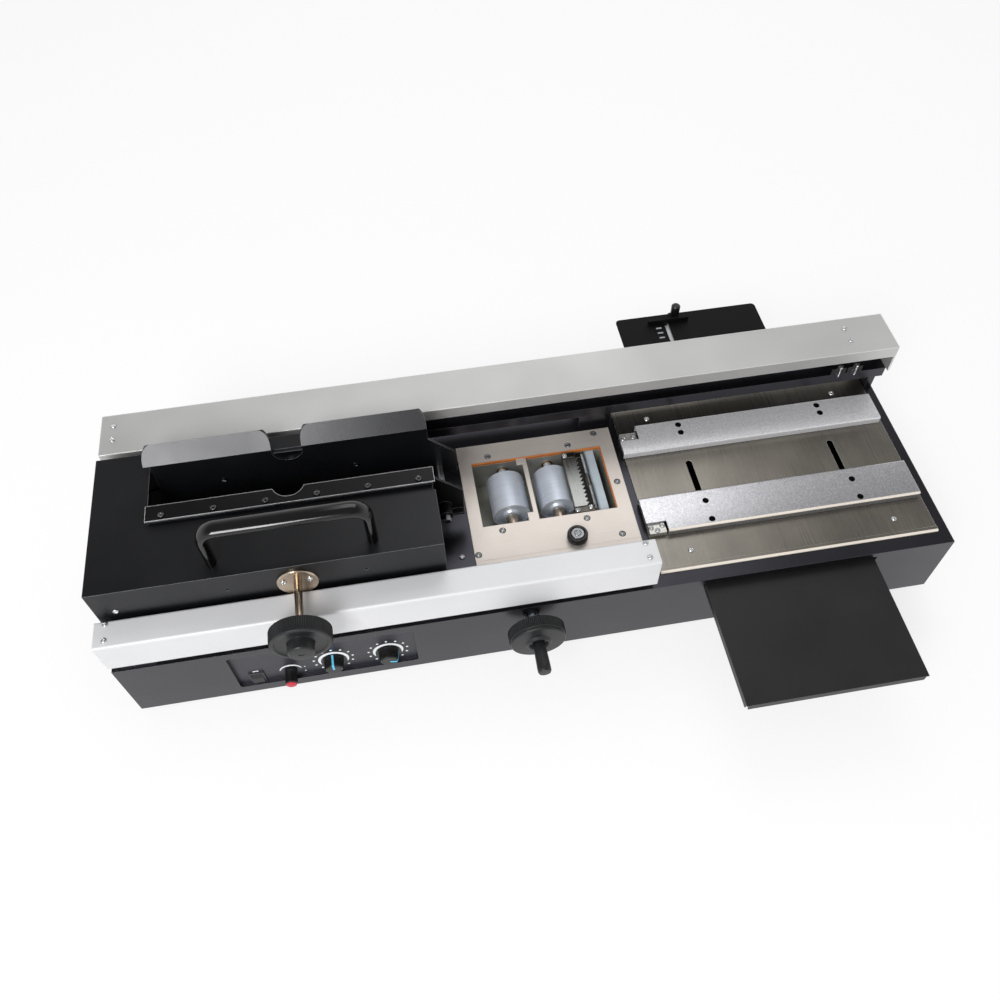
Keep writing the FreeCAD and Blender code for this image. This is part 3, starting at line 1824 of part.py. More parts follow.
def rear_jaw():
    """The fixed jaw, with two lips that lean back to guide the pages in."""
    body = new_body("rear_jaw")
    wall = d.jaw_wall
    face = d.book_face
    bend = d.rear_jaw_bend
    pad(body, "XZ", face, [jaw_outline(bend, d.jaw_ear)], wall)
    pocket(body, "XZ", face, [screw_hole(x, z) for x, z in jaw_plate_screws()], wall)
    rise = d.tab_rise
    lip = poly(
        [
            (face, bend),
            (face + rise, bend + rise),
            (face + rise + wall * 0.7, bend + rise - wall * 0.7),
            (face + wall, bend - wall * 0.4),
            (face + wall, bend - 2),
            (face, bend - 2),
        ]
    )
    pad(body, "YZ", d.jaw_left, [lip], d.jaw_right - d.jaw_left)
    middle = d.thumb_gap_left + d.thumb_gap_width / 2
    gap_top = bend + rise + d.thumb_gap_width
    notch = thumb_notch(middle, d.thumb_gap_floor, gap_top)
    high = bend + rise
    pocket(body, "XZ", face - 1, [notch], rise + wall + 4)
    ends = (
        (d.jaw_left, 1),
        (d.thumb_gap_left, -1),
        (d.thumb_gap_left + d.thumb_gap_width, 1),
        (d.jaw_right, -1),
    )
    trims = [corner_trim(x, high, way, d.tab_corner) for x, way in ends]
    pocket(body, "XZ", face + 1, trims, rise + wall + 2)


def jaw_guide_rods():
    """Two nickelled rods set in the rear jaw, on which the front jaw slides."""
    body = new_body("jaw_guide_rods")
    r = d.rod_radius
    for x in (d.rod_left, d.rod_right):
        profile = [
            (d.rod_front, 0),
            (d.rod_front, r - 1),
            (d.rod_front + 1, r),
            (d.book_face, r),
            (d.book_face, 0),
        ]
        turned(body, "y", (x, d.rod_height), profile)


def front_jaw():
    """The moving jaw: a folded plate with a lower lip, a top flange and two bushed bosses."""
    body = new_body("front_jaw")
    wall = d.jaw_wall
    face = front_face()
    top = d.strip_bottom
    back = face - wall
    pad(body, "XZ", back, [jaw_outline(top, d.jaw_ear)], wall)
    lip = rect(d.jaw_left, back - d.jaw_lip, d.jaw_reach, back)
    pad(body, "XY", d.jaw_bottom, [lip], wall)
    flange = rect(d.slot_left + 2, back - d.jaw_top_flange, d.jaw_right - 2, back)
    pad(body, "XY", top - wall, [flange], wall)
    bosses = [disc(x, d.rod_height, d.bush_radius) for x in (d.rod_left, d.rod_right)]
    pad(body, "XZ", back - d.bush_length, bosses, d.bush_length)
    bore = d.rod_radius + d.running_fit
    bores = [disc(x, d.rod_height, bore) for x in (d.rod_left, d.rod_right)]
    pocket(body, "XZ", back - d.bush_length, bores, d.bush_length + wall)
    middle = d.thumb_gap_left + d.thumb_gap_width / 2
    notch = thumb_notch(middle, top - 16, top + d.thumb_gap_width)
    pocket(body, "XZ", back - d.jaw_top_flange, [notch], d.jaw_top_flange + wall)


def jaw_strip():
    """The bright-edged top strip screwed along the moving jaw, notched for the thumb."""
    body = new_body("jaw_strip")
    rear = front_face()
    front = rear - d.strip_depth
    outline = rect(d.slot_left, front, d.jaw_right, rear)
    pad(body, "XY", d.strip_bottom, [outline], d.strip_wall)
    middle = d.thumb_gap_left + d.thumb_gap_width / 2
    notch = disc(middle, rear + 6, d.thumb_gap_width / 2 + 1)
    holes = [screw_hole(x, y) for x, y in strip_screws()]
    pocket(body, "XY", d.strip_bottom, [notch] + holes, d.strip_wall)


def strip_screws():
    """The six screws along the moving jaw's strip, as (x, y)."""
    y = front_face() - d.strip_depth + 6
    span = d.jaw_right - d.slot_left - 36
    return [(d.slot_left + 18 + span * (k / 5), y) for k in range(6)]


def jaw_nut():
    """The long sleeve nut fixed to the moving jaw; only its front end is threaded."""
    body = new_body("jaw_nut")
    back = front_face() - d.jaw_wall
    start = back - d.nut_length
    thread = d.clamp_thread_radius + d.running_fit
    wide = d.clamp_thread_radius + 1.5
    profile = [
        (start, thread),
        (start, d.nut_radius),
        (back - 4, d.nut_radius),
        (back - 4, d.nut_radius + 7),
        (back, d.nut_radius + 7),
        (back, 0),
        (back - 2, 0),
        (back - 2, wide),
        (start + d.nut_thread, wide),
        (start + d.nut_thread, thread),
    ]
    turned(body, "y", (d.clamp_across, d.clamp_height), profile)


def clamp_flange():
    """The nickelled bearing flange of the clamp screw on the carriage's front wall."""
    body = new_body("clamp_flange")
    rear = d.carriage_front
    front = rear - d.clamp_flange_wall
    bore = d.clamp_shaft_radius + d.running_fit
    profile = [
        (front, bore),
        (front, d.clamp_flange_radius - 1),
        (front + 1, d.clamp_flange_radius),
        (rear, d.clamp_flange_radius),
        (rear, bore),
    ]
    turned(body, "y", (d.clamp_across, d.clamp_height), profile)
    holes = [screw_hole(x, z) for x, z in flange_screws()]
    pocket(body, "XZ", front, holes, d.clamp_flange_wall)


def flange_screws():
    """The two screws of the clamp's bearing flange, as (x, z)."""
    return [(d.clamp_across + side * 14.5, d.clamp_height + 6) for side in (-1, 1)]


def clamp_screw():
    """The clamp spindle: plain shaft, thrust collar behind the flange, then the thread."""
    body = new_body("clamp_screw")
    shaft = d.clamp_shaft_radius
    thread = d.clamp_thread_radius
    collar_front = d.carriage_front + d.fit_gap
    collar_rear = collar_front + d.clamp_collar_length
    start = d.knob_back - d.knob_width
    end = d.clamp_screw_end
    profile = [
        (start, 0),
        (start, shaft),
        (collar_front, shaft),
        (collar_front, shaft + 1.6),
        (collar_front + d.carriage_wall + 0.6, shaft + 1.6),
        (collar_front + d.carriage_wall + 0.6, d.clamp_collar_radius),
        (collar_rear, d.clamp_collar_radius),
        (collar_rear, thread),
        (end - 1, thread),
        (end, thread - 1),
        (end, 0),
    ]
    turned(body, "y", (d.clamp_across, d.clamp_height), profile)


def clamp_knob():
    """The fluted clamp wheel with its front hub."""
    body = new_body("clamp_knob")
    back = d.knob_back
    front = back - d.knob_width
    r = d.knob_radius
    hub = d.knob_hub_radius
    hub_front = front - d.knob_hub_length
    profile = [
        (back, d.clamp_shaft_radius),
        (back, r - 1.5),
        (back - 1.5, r),
        (front + 1.5, r),
        (front, r - 1.5),
        (front, r - 5),
        (front + 2, r - 7),
        (front + 2, hub + 2),
        (front, hub),
        (hub_front + 1, hub - 1),
        (hub_front, hub - 2),
        (hub_front, 0),
        (front, 0),
        (front, d.clamp_shaft_radius),
    ]
    turned(body, "y", (d.clamp_across, d.clamp_height), profile)
    rim = r + d.knob_flute_radius * 0.4
    centre = (d.clamp_across, d.clamp_height)
    fluted(body, "XZ", front - 1, centre, rim, d.knob_flute_radius, d.knob_flutes, d.knob_width + 2)


def handle():
    """The carriage handle: one flat-oval bar bent twice, standing on the cover."""
    body = new_body("handle")
    left = d.handle_left
    right = left + d.handle_span
    low = d.carriage_top
    high = low + d.handle_rise
    y = d.carriage_front + d.handle_setback
    bend = d.handle_bend
    path = new_sketch(body, "XZ", y, [handle_path(left, right, low, high, bend)])
    thin = d.handle_thickness / 2
    wide = d.handle_breadth / 2
    oval = rounded(left - thin, y - wide, left + thin, y + wide, thin - 0.1)
    section = new_sketch(body, "XY", low, [oval])
    pipe = body.newObject("PartDesign::AdditivePipe", "handle_pipe")
    pipe.Profile = section
    pipe.Spine = path
    pipe.Mode = "Frenet"
    pipe.Transition = "Right corner"
    body.Tip = pipe


def handle_path(left, right, low, high, bend):
    """The open line of the handle: up, across and down, with an arc at each bend."""

    def draw(sketch):
        x0, x1, z0, z1, r = [float(dim(v)) for v in (left, right, low, high, bend)]
        flat = FreeCAD.Vector(0, 0, 1)
        sketch.addGeometry(
            Part.LineSegment(FreeCAD.Vector(x0, z0, 0), FreeCAD.Vector(x0, z1 - r, 0)), False
        )
        first = Part.Circle(FreeCAD.Vector(x0 + r, z1 - r, 0), flat, r)
        sketch.addGeometry(Part.ArcOfCircle(first, math.pi / 2, math.pi), False)
        sketch.addGeometry(
            Part.LineSegment(FreeCAD.Vector(x0 + r, z1, 0), FreeCAD.Vector(x1 - r, z1, 0)), False
        )
        second = Part.Circle(FreeCAD.Vector(x1 - r, z1 - r, 0), flat, r)
        sketch.addGeometry(Part.ArcOfCircle(second, 0, math.pi / 2), False)
        sketch.addGeometry(
            Part.LineSegment(FreeCAD.Vector(x1, z1 - r, 0), FreeCAD.Vector(x1, z0, 0)), False
        )
        joints = [(0, 2, 1, 2), (1, 1, 2, 1), (2, 2, 3, 2), (3, 1, 4, 1)]
        for one, end, two, start in joints:
            sketch.addConstraint(Sketcher.Constraint("Tangent", one, end, two, start))
        sketch.addConstraint(Sketcher.Constraint("Vertical", 0))
        sketch.addConstraint(Sketcher.Constraint("Horizontal", 2))
        sketch.addConstraint(Sketcher.Constraint("Vertical", 4))
        for arc in (1, 3):
            index = sketch.addConstraint(Sketcher.Constraint("Radius", arc, r))
            sketch.setExpression("Constraints[%d]" % index, dim(bend).text)
        tie(sketch, "DistanceX", 0, 1, left)
        tie(sketch, "DistanceY", 0, 1, low)
        tie(sketch, "DistanceY", 2, 1, high)
        tie(sketch, "DistanceX", 4, 2, right)
        tie(sketch, "DistanceY", 4, 2, low)

    return draw


# ------------------------------------------------------------- screws ----

UP = (0, 0, 1)
FRONT = (0, -1, 0)


def deck_screws():
    """Screws of the deck plate, the tray and the two rails."""
    levels = (
        (plate_screws(), d.base_height + d.plate_wall),
        (tray_screws(), tray_top()),
        (rail_screws(), rail_bottom() + d.front_rail_height),
        (cover_screws(), d.rear_rail_top),
    )
    places = [(x, y, level, UP) for group, level in levels for x, y in group]
    screw_group("deck_screws", places)


def jaw_screws():
    """Six screws along the moving jaw's strip."""
    top = d.strip_bottom + d.strip_wall
    screw_group("jaw_screws", [(x, y, top, UP) for x, y in strip_screws()])


def jaw_plate_screws():
    """The two screws in the fixed jaw's face, as (x, z)."""
    return [(d.jaw_left + 81, 178), (d.jaw_left + 236, 172)]


def wall_screw():
    """The screw at the left of the carriage's front wall, as (x, z)."""
    return (d.carriage_left + d.wall_screw_inset, d.wall_screw_height)


def carriage_screws():
    """Screws in the carriage's front wall, its bearing flange and the fixed jaw."""
    front = d.carriage_front
    x, z = wall_screw()
    places = [(x, front, z, FRONT)]
    places += [(x, front - d.clamp_flange_wall, z, FRONT) for x, z in flange_screws()]
    places += [(x, d.book_face, z, FRONT) for x, z in jaw_plate_screws()]
    screw_group("carriage_screws", places)


# -------------------------------------------------------------- build ----

def build():
    base_housing()
    bottom_pan()
    rubber_feet()
    control_panel()
    power_rocker()
    cap = (d.cap_knob_across, d.cap_knob_height)
    knob("cap_knob", *cap, d.cap_knob_radius, d.cap_knob_length, 0.6, ())
    dial = (d.dial_radius, d.dial_length, 2)
    knob("left_dial", d.left_dial_across, d.dial_height, *dial, (0,))
    knob("right_dial", d.right_dial_across, d.dial_height, *dial, (110,))
    control_board()
    power_inlet()
    front_rail()
    rail_spacers()
    rear_beam()
    rear_rail_cover()
    linear_rail()
    limit_switches()
    switch_lever("first_switch_lever", 0)
    switch_lever("second_switch_lever", 1)
    glue_cover_plate()
    glue_tank()
    tank_seal()
    heater_plate()
    roller_bushes()
    wheel_seat = d.wheel_back - d.wheel_width + 6
    glue_roller("first_glue_roller", d.roller_across, d.first_roller_radius, wheel_seat)
    glue_roller("second_glue_roller", second_across(), d.second_roller_radius, tank_front() - 2.5)
    gear("first_roller_gear", d.roller_across, int(float(d.roller_teeth)), float(d.shaft_radius))
    gear("idler_gear", idler_across(), int(float(d.idler_teeth)), float(d.stud_radius + d.running_fit))
    gear("second_roller_gear", second_across(), int(float(d.roller_teeth)), float(d.shaft_radius))
    handwheel()
    blade_frame()
    doctor_blade()
    film_knob()
    wiper_bar()
    cover_tray()
    rear_nipper()
    front_nipper()
    nip_yoke()
    nip_frame()
    nip_screw()
    nip_motor()
    front_table()
    rear_table()
    stop_fence()
    fence_knob()
    carriage_cover()
    carriage_frame()
    bearing_blocks()
    slide_shoe()
    rear_jaw()
    jaw_guide_rods()
    front_jaw()
    jaw_strip()
    jaw_nut()
    clamp_flange()
    clamp_screw()
    clamp_knob()
    handle()
    deck_screws()
    jaw_screws()
    carriage_screws()


def check():
    """Stop before anything is written if an object failed or a cut removed nothing."""
    for item in doc.Objects:
        if "Invalid" in item.State or "Error" in item.State:
            raise RuntimeError("%s failed: %s" % (item.Name, item.State))
    for feature in cuts:
        base = feature.BaseFeature
        if feature.Shape.Volume >= base.Shape.Volume - 1e-6:
            raise RuntimeError("%s cuts nothing" % feature.Name)
    for piece in pieces:
        if piece.Shape.isNull() or not piece.Shape.isValid():
            raise RuntimeError("%s has no valid shape" % piece.Label)


build()
doc.recompute()
check()
os.makedirs("parts", exist_ok=True)
for piece in pieces:
    piece.Shape.exportStep(os.path.join("parts", piece.Label + ".step"))
print("pieces", len(pieces))
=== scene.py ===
import math

import bmesh
import bpy
from mathutils import Euler, Matrix, Vector


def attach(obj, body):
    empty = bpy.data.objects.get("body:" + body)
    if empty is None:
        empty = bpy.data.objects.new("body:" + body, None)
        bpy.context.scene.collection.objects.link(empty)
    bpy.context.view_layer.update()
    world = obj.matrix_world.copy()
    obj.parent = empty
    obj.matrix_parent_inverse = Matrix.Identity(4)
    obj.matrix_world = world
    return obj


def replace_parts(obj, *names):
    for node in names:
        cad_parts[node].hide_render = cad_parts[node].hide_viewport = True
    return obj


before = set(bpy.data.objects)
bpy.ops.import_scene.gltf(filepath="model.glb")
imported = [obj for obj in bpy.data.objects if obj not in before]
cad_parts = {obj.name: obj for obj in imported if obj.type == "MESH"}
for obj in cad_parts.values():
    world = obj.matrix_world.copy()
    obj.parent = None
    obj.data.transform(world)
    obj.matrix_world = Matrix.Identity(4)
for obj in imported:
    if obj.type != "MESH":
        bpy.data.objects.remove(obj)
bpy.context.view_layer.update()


# Housing. A folded steel box, spot-welded at its corners and closed below by a pan. Its black
# powder coat is satin, with the faint peel that the powder leaves as it flows in the oven. It is
# thin along the folds, which are painted a little grey: partly wear, partly painted highlight.
def colour(code):
    """An sRGB hex code as the linear colour that a shader takes."""
    parts = [int(code[i : i + 2], 16) / 255 for i in (1, 3, 5)]
    return [p / 12.92 if p <= 0.04045 else ((p + 0.055) / 1.055) ** 2.4 for p in parts] + [1]


def per(millimetres):
    """The texture scale at which one feature of a pattern measures so many millimetres."""
    return 1000 / millimetres


def add(tree, kind, inputs=None, **settings):
    """Adds a node; INPUTS maps its sockets to values or to the sockets that feed them."""
    node = tree.nodes.new(kind)
    for name, value in settings.items():
        setattr(node, name, value)
    for name, value in (inputs or {}).items():
        if isinstance(value, bpy.types.NodeSocket):
            tree.links.new(value, node.inputs[name])
        else:
            node.inputs[name].default_value = value
    return node


def new_finish(name, **constants):
    """A material with its shader, and the place on the piece that its patterns read."""
    material = bpy.data.materials.new(name)
    material.use_nodes = True
    tree = material.node_tree
    tree.nodes.clear()
    sockets = {label.replace("_", " "): value for label, value in constants.items()}
    shader = add(tree, "ShaderNodeBsdfPrincipled", sockets)
    add(tree, "ShaderNodeOutputMaterial", {"Surface": shader.outputs["BSDF"]})
    place = add(tree, "ShaderNodeTexCoord").outputs["Object"]
    return material, tree, shader, place


def spread(tree, source, low, high, start=0.3, end=0.7):
    """Turns a pattern's grey value into a colour or a number between LOW and HIGH."""
    if isinstance(low, str):
        low, high = colour(low), colour(high)
    tint = not isinstance(low, (int, float))
    share = add(tree, "ShaderNodeMapRange", {"Value": source, "From Min": start, "From Max": end})
    ends = {6: low, 7: high} if tint else {2: low, 3: high}
    ends[0] = share.outputs[0]
    mix = add(tree, "ShaderNodeMix", ends, data_type="RGBA" if tint else "FLOAT")
    return mix.outputs[2 if tint else 0]


def eased_edges(tree, radius):
    """The normal with its edges rounded by RADIUS, and how close a point is to such an edge."""
    eased = add(tree, "ShaderNodeBevel", {"Radius": radius}, samples=4).outputs[0]
    flat = add(tree, "ShaderNodeNewGeometry").outputs["Normal"]
    turn = add(tree, "ShaderNodeVectorMath", {0: eased, 1: flat}, operation="DOT_PRODUCT")
    return eased, turn.outputs["Value"]


def feed(tree, shader, **sources):
    """Feeds the shader's sockets from the patterns."""
    for name, source in sources.items():
        tree.links.new(source, shader.inputs[name.replace("_", " ")])


FOLDED, FLAT = 0.84, 0.99  # how flat a spot is on a fold (wear and painted highlight) and on a face
GUN_PASS, PEEL_DEPTH = 90, 0.00004


def powder_coat(name, dark, light, edge, roughness, peel, specular=0.35, sheen="#F6F6FA", bend=0.8):
    """Baked powder on steel: PEEL is the width of its small waves and BEND the radius of its
    folds, in millimetres. The clouds in it are as wide as a pass of the powder gun. EDGE is
    the colour of the folds, worn coat and painted highlight both."""
    material, tree, shader, place = new_finish(
        name, Specular_IOR_Level=specular, Specular_Tint=colour(sheen)
    )
    sockets = {"Vector": place, "Scale": per(GUN_PASS), "Detail": 4.0}
    cloud = add(tree, "ShaderNodeTexNoise", sockets).outputs[0]
    sockets = {"Vector": place, "Scale": per(peel), "Detail": 3.0}
    waves = add(tree, "ShaderNodeTexNoise", sockets).outputs[0]
    eased, flatness = eased_edges(tree, bend / 1000)
    relief = {"Height": waves, "Distance": PEEL_DEPTH, "Strength": 1.0, "Normal": eased}
    base = spread(tree, cloud, dark, light)
    # The folds take the EDGE colour: partly a worn coat, partly a painted highlight.
    feed(
        tree,
        shader,
        Base_Color=spread(tree, flatness, colour(edge), base, FOLDED, FLAT),
        Roughness=spread(tree, cloud, roughness, roughness + 0.1),
        Normal=add(tree, "ShaderNodeBump", relief).outputs[0],
    )
    return material


def dress(material, *names):
    """Gives the frame's own parts their finish."""
    for name in names:
        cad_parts[name].material_slots[0].material = material


housing_coat = powder_coat(
    "black_powder_coat_housing", "#09090A", "#0F0F11", "#4A4A4E", 0.24, 1.4, 0.68, "#E6E6F8"
)
dress(housing_coat, "base_housing", "bottom_pan", "rail_spacers", "rear_beam")


# Feet. Four bumpers of moulded black rubber under the corners of the pan. They are dull, and
# slightly grey where they rub on the bench.
FLOW_MARK, MOULD_EDGE = 18, 0.0005


def moulded(name, dark, light, roughness, grain, depth=0.00004, specular=0.5):
    """A moulded plastic or rubber: GRAIN is the width in millimetres of the tool's texture,
    drawn two to four times as coarse as it is, so that it shows."""
    material, tree, shader, place = new_finish(name, Specular_IOR_Level=specular)
    sockets = {"Vector": place, "Scale": per(grain), "Detail": 2.0}
    texture = add(tree, "ShaderNodeTexNoise", sockets).outputs[0]
    sockets = {"Vector": place, "Scale": per(FLOW_MARK), "Detail": 3.0}
    flow = add(tree, "ShaderNodeTexNoise", sockets).outputs[0]
    eased, _ = eased_edges(tree, MOULD_EDGE)
    relief = {"Height": texture, "Distance": depth, "Strength": 1.0, "Normal": eased}
    feed(
        tree,
        shader,
        Base_Color=spread(tree, flow, dark, light),
        Roughness=spread(tree, texture, roughness, roughness + 0.12),
        Normal=add(tree, "ShaderNodeBump", relief).outputs[0],
    )
    return material


foot_rubber = moulded("moulded_black_rubber", "#141414", "#242423", 0.7, 0.8)
dress(foot_rubber, "rubber_feet")

# Fascia. A panel of moulded black ABS, set back in the front wall. Its tool texture leaves it
# satin. The scales round its three controls are screen-printed in flat white ink: an arc and a
# row of dots for each dial, and a swelling arc for the cap.
fascia_plastic = moulded("textured_abs_fascia", "#1F1F27", "#282832", 0.34, 0.9)
dress(fascia_plastic, "control_panel")
white_ink = moulded("white_screen_ink", "#E4E6E8", "#F4F5F6", 0.5, 0.4, 0.00001)


def keep(name, mesh, material, body):
    """Makes a mesh a piece that rides on a body of the machine."""
    if material:
        mesh.materials.clear()
        mesh.materials.append(material)
    piece = bpy.data.objects.new(name, mesh)
    bpy.context.scene.collection.objects.link(piece)
    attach(piece, body)
    return piece


def at(x, y, z):
    """A place in millimetres from the housing's lower front left corner, in metres."""
    return Vector((x - 500, y - 150, z + 8)) / 1000


def facing_front(x, y, z):
    """Stands a mesh made round Z so that its Z points out of the front, at a place."""
    return Matrix.Translation(at(x, y, z)) @ Matrix.Rotation(math.radians(90), 4, "X")


MERGE, CREASE = 1e-7, math.radians(32)


def closed_mesh(name, points, faces, turn=Matrix.Identity(4)):
    """A mesh from points in metres, with its doubles merged and its faces pointing outwards."""
    shell = bmesh.new()
    corners = [shell.verts.new(point) for point in points]
    for face in faces:
        shell.faces.new([corners[i] for i in face])
    bmesh.ops.remove_doubles(shell, verts=shell.verts, dist=MERGE)
    bmesh.ops.recalc_face_normals(shell, faces=shell.faces)
    mesh = bpy.data.meshes.new(name)
    shell.to_mesh(mesh)
    shell.free()
    mesh.transform(turn)
    for face in mesh.polygons:
        face.use_smooth = True
    mesh.set_sharp_from_angle(angle=CREASE)
    return mesh


def strip_round(name, band, thickness, turn):
    """A closed band of ink round Z: BAND holds (angle in degrees, inner and outer radius)."""
    points, faces = [], []
    for angle, inner, outer in band:
        across, up = math.sin(math.radians(angle)) / 1000, math.cos(math.radians(angle)) / 1000
        for radius, high in ((inner, 0), (outer, 0), (outer, thickness), (inner, thickness)):
            points.append((radius * across, radius * up, high / 1000))
    for i in range(len(band) - 1):
        for j in range(4):
            low, high = 4 * i + j, 4 * i + (j + 1) % 4
            faces.append((low, high, high + 4, low + 4))
    faces += [(0, 1, 2, 3), tuple(len(points) - 4 + j for j in range(4))]
    return closed_mesh(name, points, faces, turn)


def ring_tree():
    """Geometry Nodes that turn copies of one shape round Z, a fixed angle apart."""
    tree = bpy.data.node_groups.new("copies_round_axis", "GeometryNodeTree")
    for label, kind in (
        ("Geometry", "NodeSocketGeometry"),
        ("Shape", "NodeSocketObject"),
        ("Count", "NodeSocketInt"),
        ("Radius", "NodeSocketFloat"),
        ("First Angle", "NodeSocketFloat"),
        ("Step Angle", "NodeSocketFloat"),
        ("Material", "NodeSocketMaterial"),
    ):
        tree.interface.new_socket(label, in_out="INPUT", socket_type=kind)
    tree.interface.new_socket("Geometry", in_out="OUTPUT", socket_type="NodeSocketGeometry")
    given = add(tree, "NodeGroupInput").outputs
    index = add(tree, "GeometryNodeInputIndex").outputs[0]
    turn = add(
        tree,
        "ShaderNodeMath",
        {0: index, 1: given["Step Angle"], 2: given["First Angle"]},
        operation="MULTIPLY_ADD",
    ).outputs[0]
    across = add(tree, "ShaderNodeMath", {0: turn}, operation="COSINE").outputs[0]
    up = add(tree, "ShaderNodeMath", {0: turn}, operation="SINE").outputs[0]
    spot = add(tree, "ShaderNodeCombineXYZ", {"X": across, "Y": up}).outputs[0]
    sockets = {0: spot, "Scale": given["Radius"]}
    spot = add(tree, "ShaderNodeVectorMath", sockets, operation="SCALE").outputs[0]
    points = add(tree, "GeometryNodePoints", {"Count": given["Count"], "Position": spot}).outputs[0]
    shape = add(tree, "GeometryNodeObjectInfo", {"Object": given["Shape"]}).outputs["Geometry"]
    euler = add(tree, "ShaderNodeCombineXYZ", {"Z": turn}).outputs[0]
    sockets = {"Points": points, "Instance": shape, "Rotation": euler}
    copies = add(tree, "GeometryNodeInstanceOnPoints", sockets).outputs[0]
    solid = add(tree, "GeometryNodeRealizeInstances", {"Geometry": copies}).outputs[0]
    sockets = {"Geometry": solid, "Material": given["Material"]}
    done = add(tree, "GeometryNodeSetMaterial", sockets).outputs[0]
    add(tree, "NodeGroupOutput", {"Geometry": done})
    return tree


def grown(tree, source, turn=Matrix.Identity(4), **values):
    """Runs a tree of Geometry Nodes on a mesh and gives the result as a plain mesh."""
    holder = bpy.data.objects.new("holder", source)
    bpy.context.scene.collection.objects.link(holder)
    modifier = holder.modifiers.new("grow", "NODES")
    modifier.node_group = tree
    for item in tree.interface.items_tree:
        label = item.name.replace(" ", "_")
        if item.in_out == "INPUT" and label in values:
            modifier[item.identifier] = values[label]
    holder.update_tag()
    seen = holder.evaluated_get(bpy.context.evaluated_depsgraph_get())
    mesh = bpy.data.meshes.new_from_object(seen)
    holder.modifiers.remove(modifier)
    bpy.data.objects.remove(holder)
    mesh.transform(turn)
    return mesh


copies_round = ring_tree()


def ring(name, shape, count, radius, first, step, material, turn):
    """COUNT copies of a shape round Z; the shape's own X points away from the axis."""
    pattern = bpy.data.objects.new("pattern", shape)
    bpy.context.scene.collection.objects.link(pattern)
    mesh = grown(
        copies_round,
        bpy.data.meshes.new("empty"),
        turn,
        Shape=pattern,
        Count=count,
        Radius=radius / 1000,
        First_Angle=math.radians(first),
        Step_Angle=math.radians(step),
        Material=material,
    )
    bpy.data.objects.remove(pattern)
    mesh.name = name
    return mesh


def turned(name, profile, sides=64, turn=Matrix.Identity(4)):
    """A closed body of revolution round Z from (radius, height) pairs in millimetres."""
    points, faces, rows = [], [], []
    for radius, height in profile:
        count = sides if radius > 0 else 1
        rows.append([len(points) + i for i in range(count)])
        for i in range(count):
            angle = 2 * math.pi * i / sides
            spot = (radius * math.cos(angle), radius * math.sin(angle), height)
            points.append(Vector(spot) / 1000)
    for low, high in zip(rows, rows[1:]):
        for i in range(sides):
            near, far = i, (i + 1) % sides
            face = [low[near % len(low)], low[far % len(low)]]
            face += [high[far % len(high)], high[near % len(high)]]
            faces.append(tuple(dict.fromkeys(face)))
    return closed_mesh(name, points, [face for face in faces if len(face) > 2], turn)


PANEL_FACE, INK = 5, 0.12
DIALS = {"left": (239, 41.5), "right": (304.5, 41.5)}
CAP = (186, 30)
ARC_OUTER, ARC_TIP, ARC_WIDTH, ARC_END = 18.4, 18.3, 4.2, 124
DIAL_DOTS, DIAL_DOT, DIAL_DOT_ROW = 11, 1.5, 23.4
for side, (across, up) in DIALS.items():
    place = facing_front(across, PANEL_FACE, up)
    tapers = [(angle, 1 - (angle / ARC_END) ** 4) for angle in range(-120, 121, 6)]
    band = [(angle, ARC_TIP - ARC_WIDTH * share, ARC_OUTER) for angle, share in tapers]
    keep(f"{side}_dial_arc", strip_round("arc", band, INK, place), white_ink, "machine")
    dot = turned("dot", [(0, 0), (DIAL_DOT, 0), (DIAL_DOT, INK), (0, INK)], 16)
    dots = ring(f"{side}_dial_dots", dot, DIAL_DOTS, DIAL_DOT_ROW, -48, 27.6, white_ink, place)
    keep(f"{side}_dial_dots", dots, None, "machine")
CAP_ARC_INNER, CAP_ARC_OUTER, CAP_ARC_SWELL = 12.8, 13.2, 1.4
CAP_DOT, CAP_DOT_ROW = 1.0, 17.5
place = facing_front(CAP[0], PANEL_FACE, CAP[1])
swell = [(angle, CAP_ARC_SWELL * math.cos(math.radians(angle))) for angle in range(-78, 79, 4)]
band = [(angle, CAP_ARC_INNER - half, CAP_ARC_OUTER + half) for angle, half in swell]
keep("cap_arc", strip_round("arc", band, INK, place), white_ink, "machine")
dot = turned("dot", [(0, 0), (CAP_DOT, 0), (CAP_DOT, INK), (0, INK)], 16)
keep("cap_dots", ring("cap_dots", dot, 2, CAP_DOT_ROW, 14, -34, white_ink, place), None, "machine")

# Knobs. Push-on knobs of black ABS, ribbed for the fingers and smooth enough to hold small
# highlights. Each dial carries a blue polystyrene pointer let into its rim and face, and the
# small cap knob ends in a red disc snapped into its top.
knob_plastic = moulded("moulded_abs_knob", "#0A0A0B", "#121213", 0.3, 0.7)
blue_plastic = moulded("blue_polystyrene_pointer", "#4FB4D8", "#63C6E8", 0.36, 0.6, 0.00001)
red_plastic = moulded("red_polystyrene_cap", "#B81A34", "#CC2A42", 0.3, 0.6, 0.00001)
dress(knob_plastic, "cap_knob", "left_dial", "right_dial", "fence_knob")


def bar(name, low, high, turn=Matrix.Identity(4)):
    """A plain closed bar between two corners in millimetres."""
    points = [
        Vector((x, y, z)) / 1000
        for x in (low[0], high[0])
        for y in (low[1], high[1])
        for z in (low[2], high[2])
    ]
    faces = [(0, 1, 3, 2), (4, 6, 7, 5), (0, 4, 5, 1), (2, 3, 7, 6), (0, 2, 6, 4), (1, 5, 7, 3)]
    return closed_mesh(name, points, faces, turn)


def slanted_bar(name, half, profile, turn=Matrix.Identity(4)):
    """A bar of constant width along X, from its outline as (reach, height) in millimetres."""
    points = [
        Vector((side, reach, height)) / 1000
        for side in (-half, half)
        for reach, height in profile
    ]
    count = len(profile)
    faces = [(i, (i + 1) % count, (i + 1) % count + count, i + count) for i in range(count)]
    faces += [tuple(range(count)), tuple(range(count, 2 * count))]
    return closed_mesh(name, points, faces, turn)


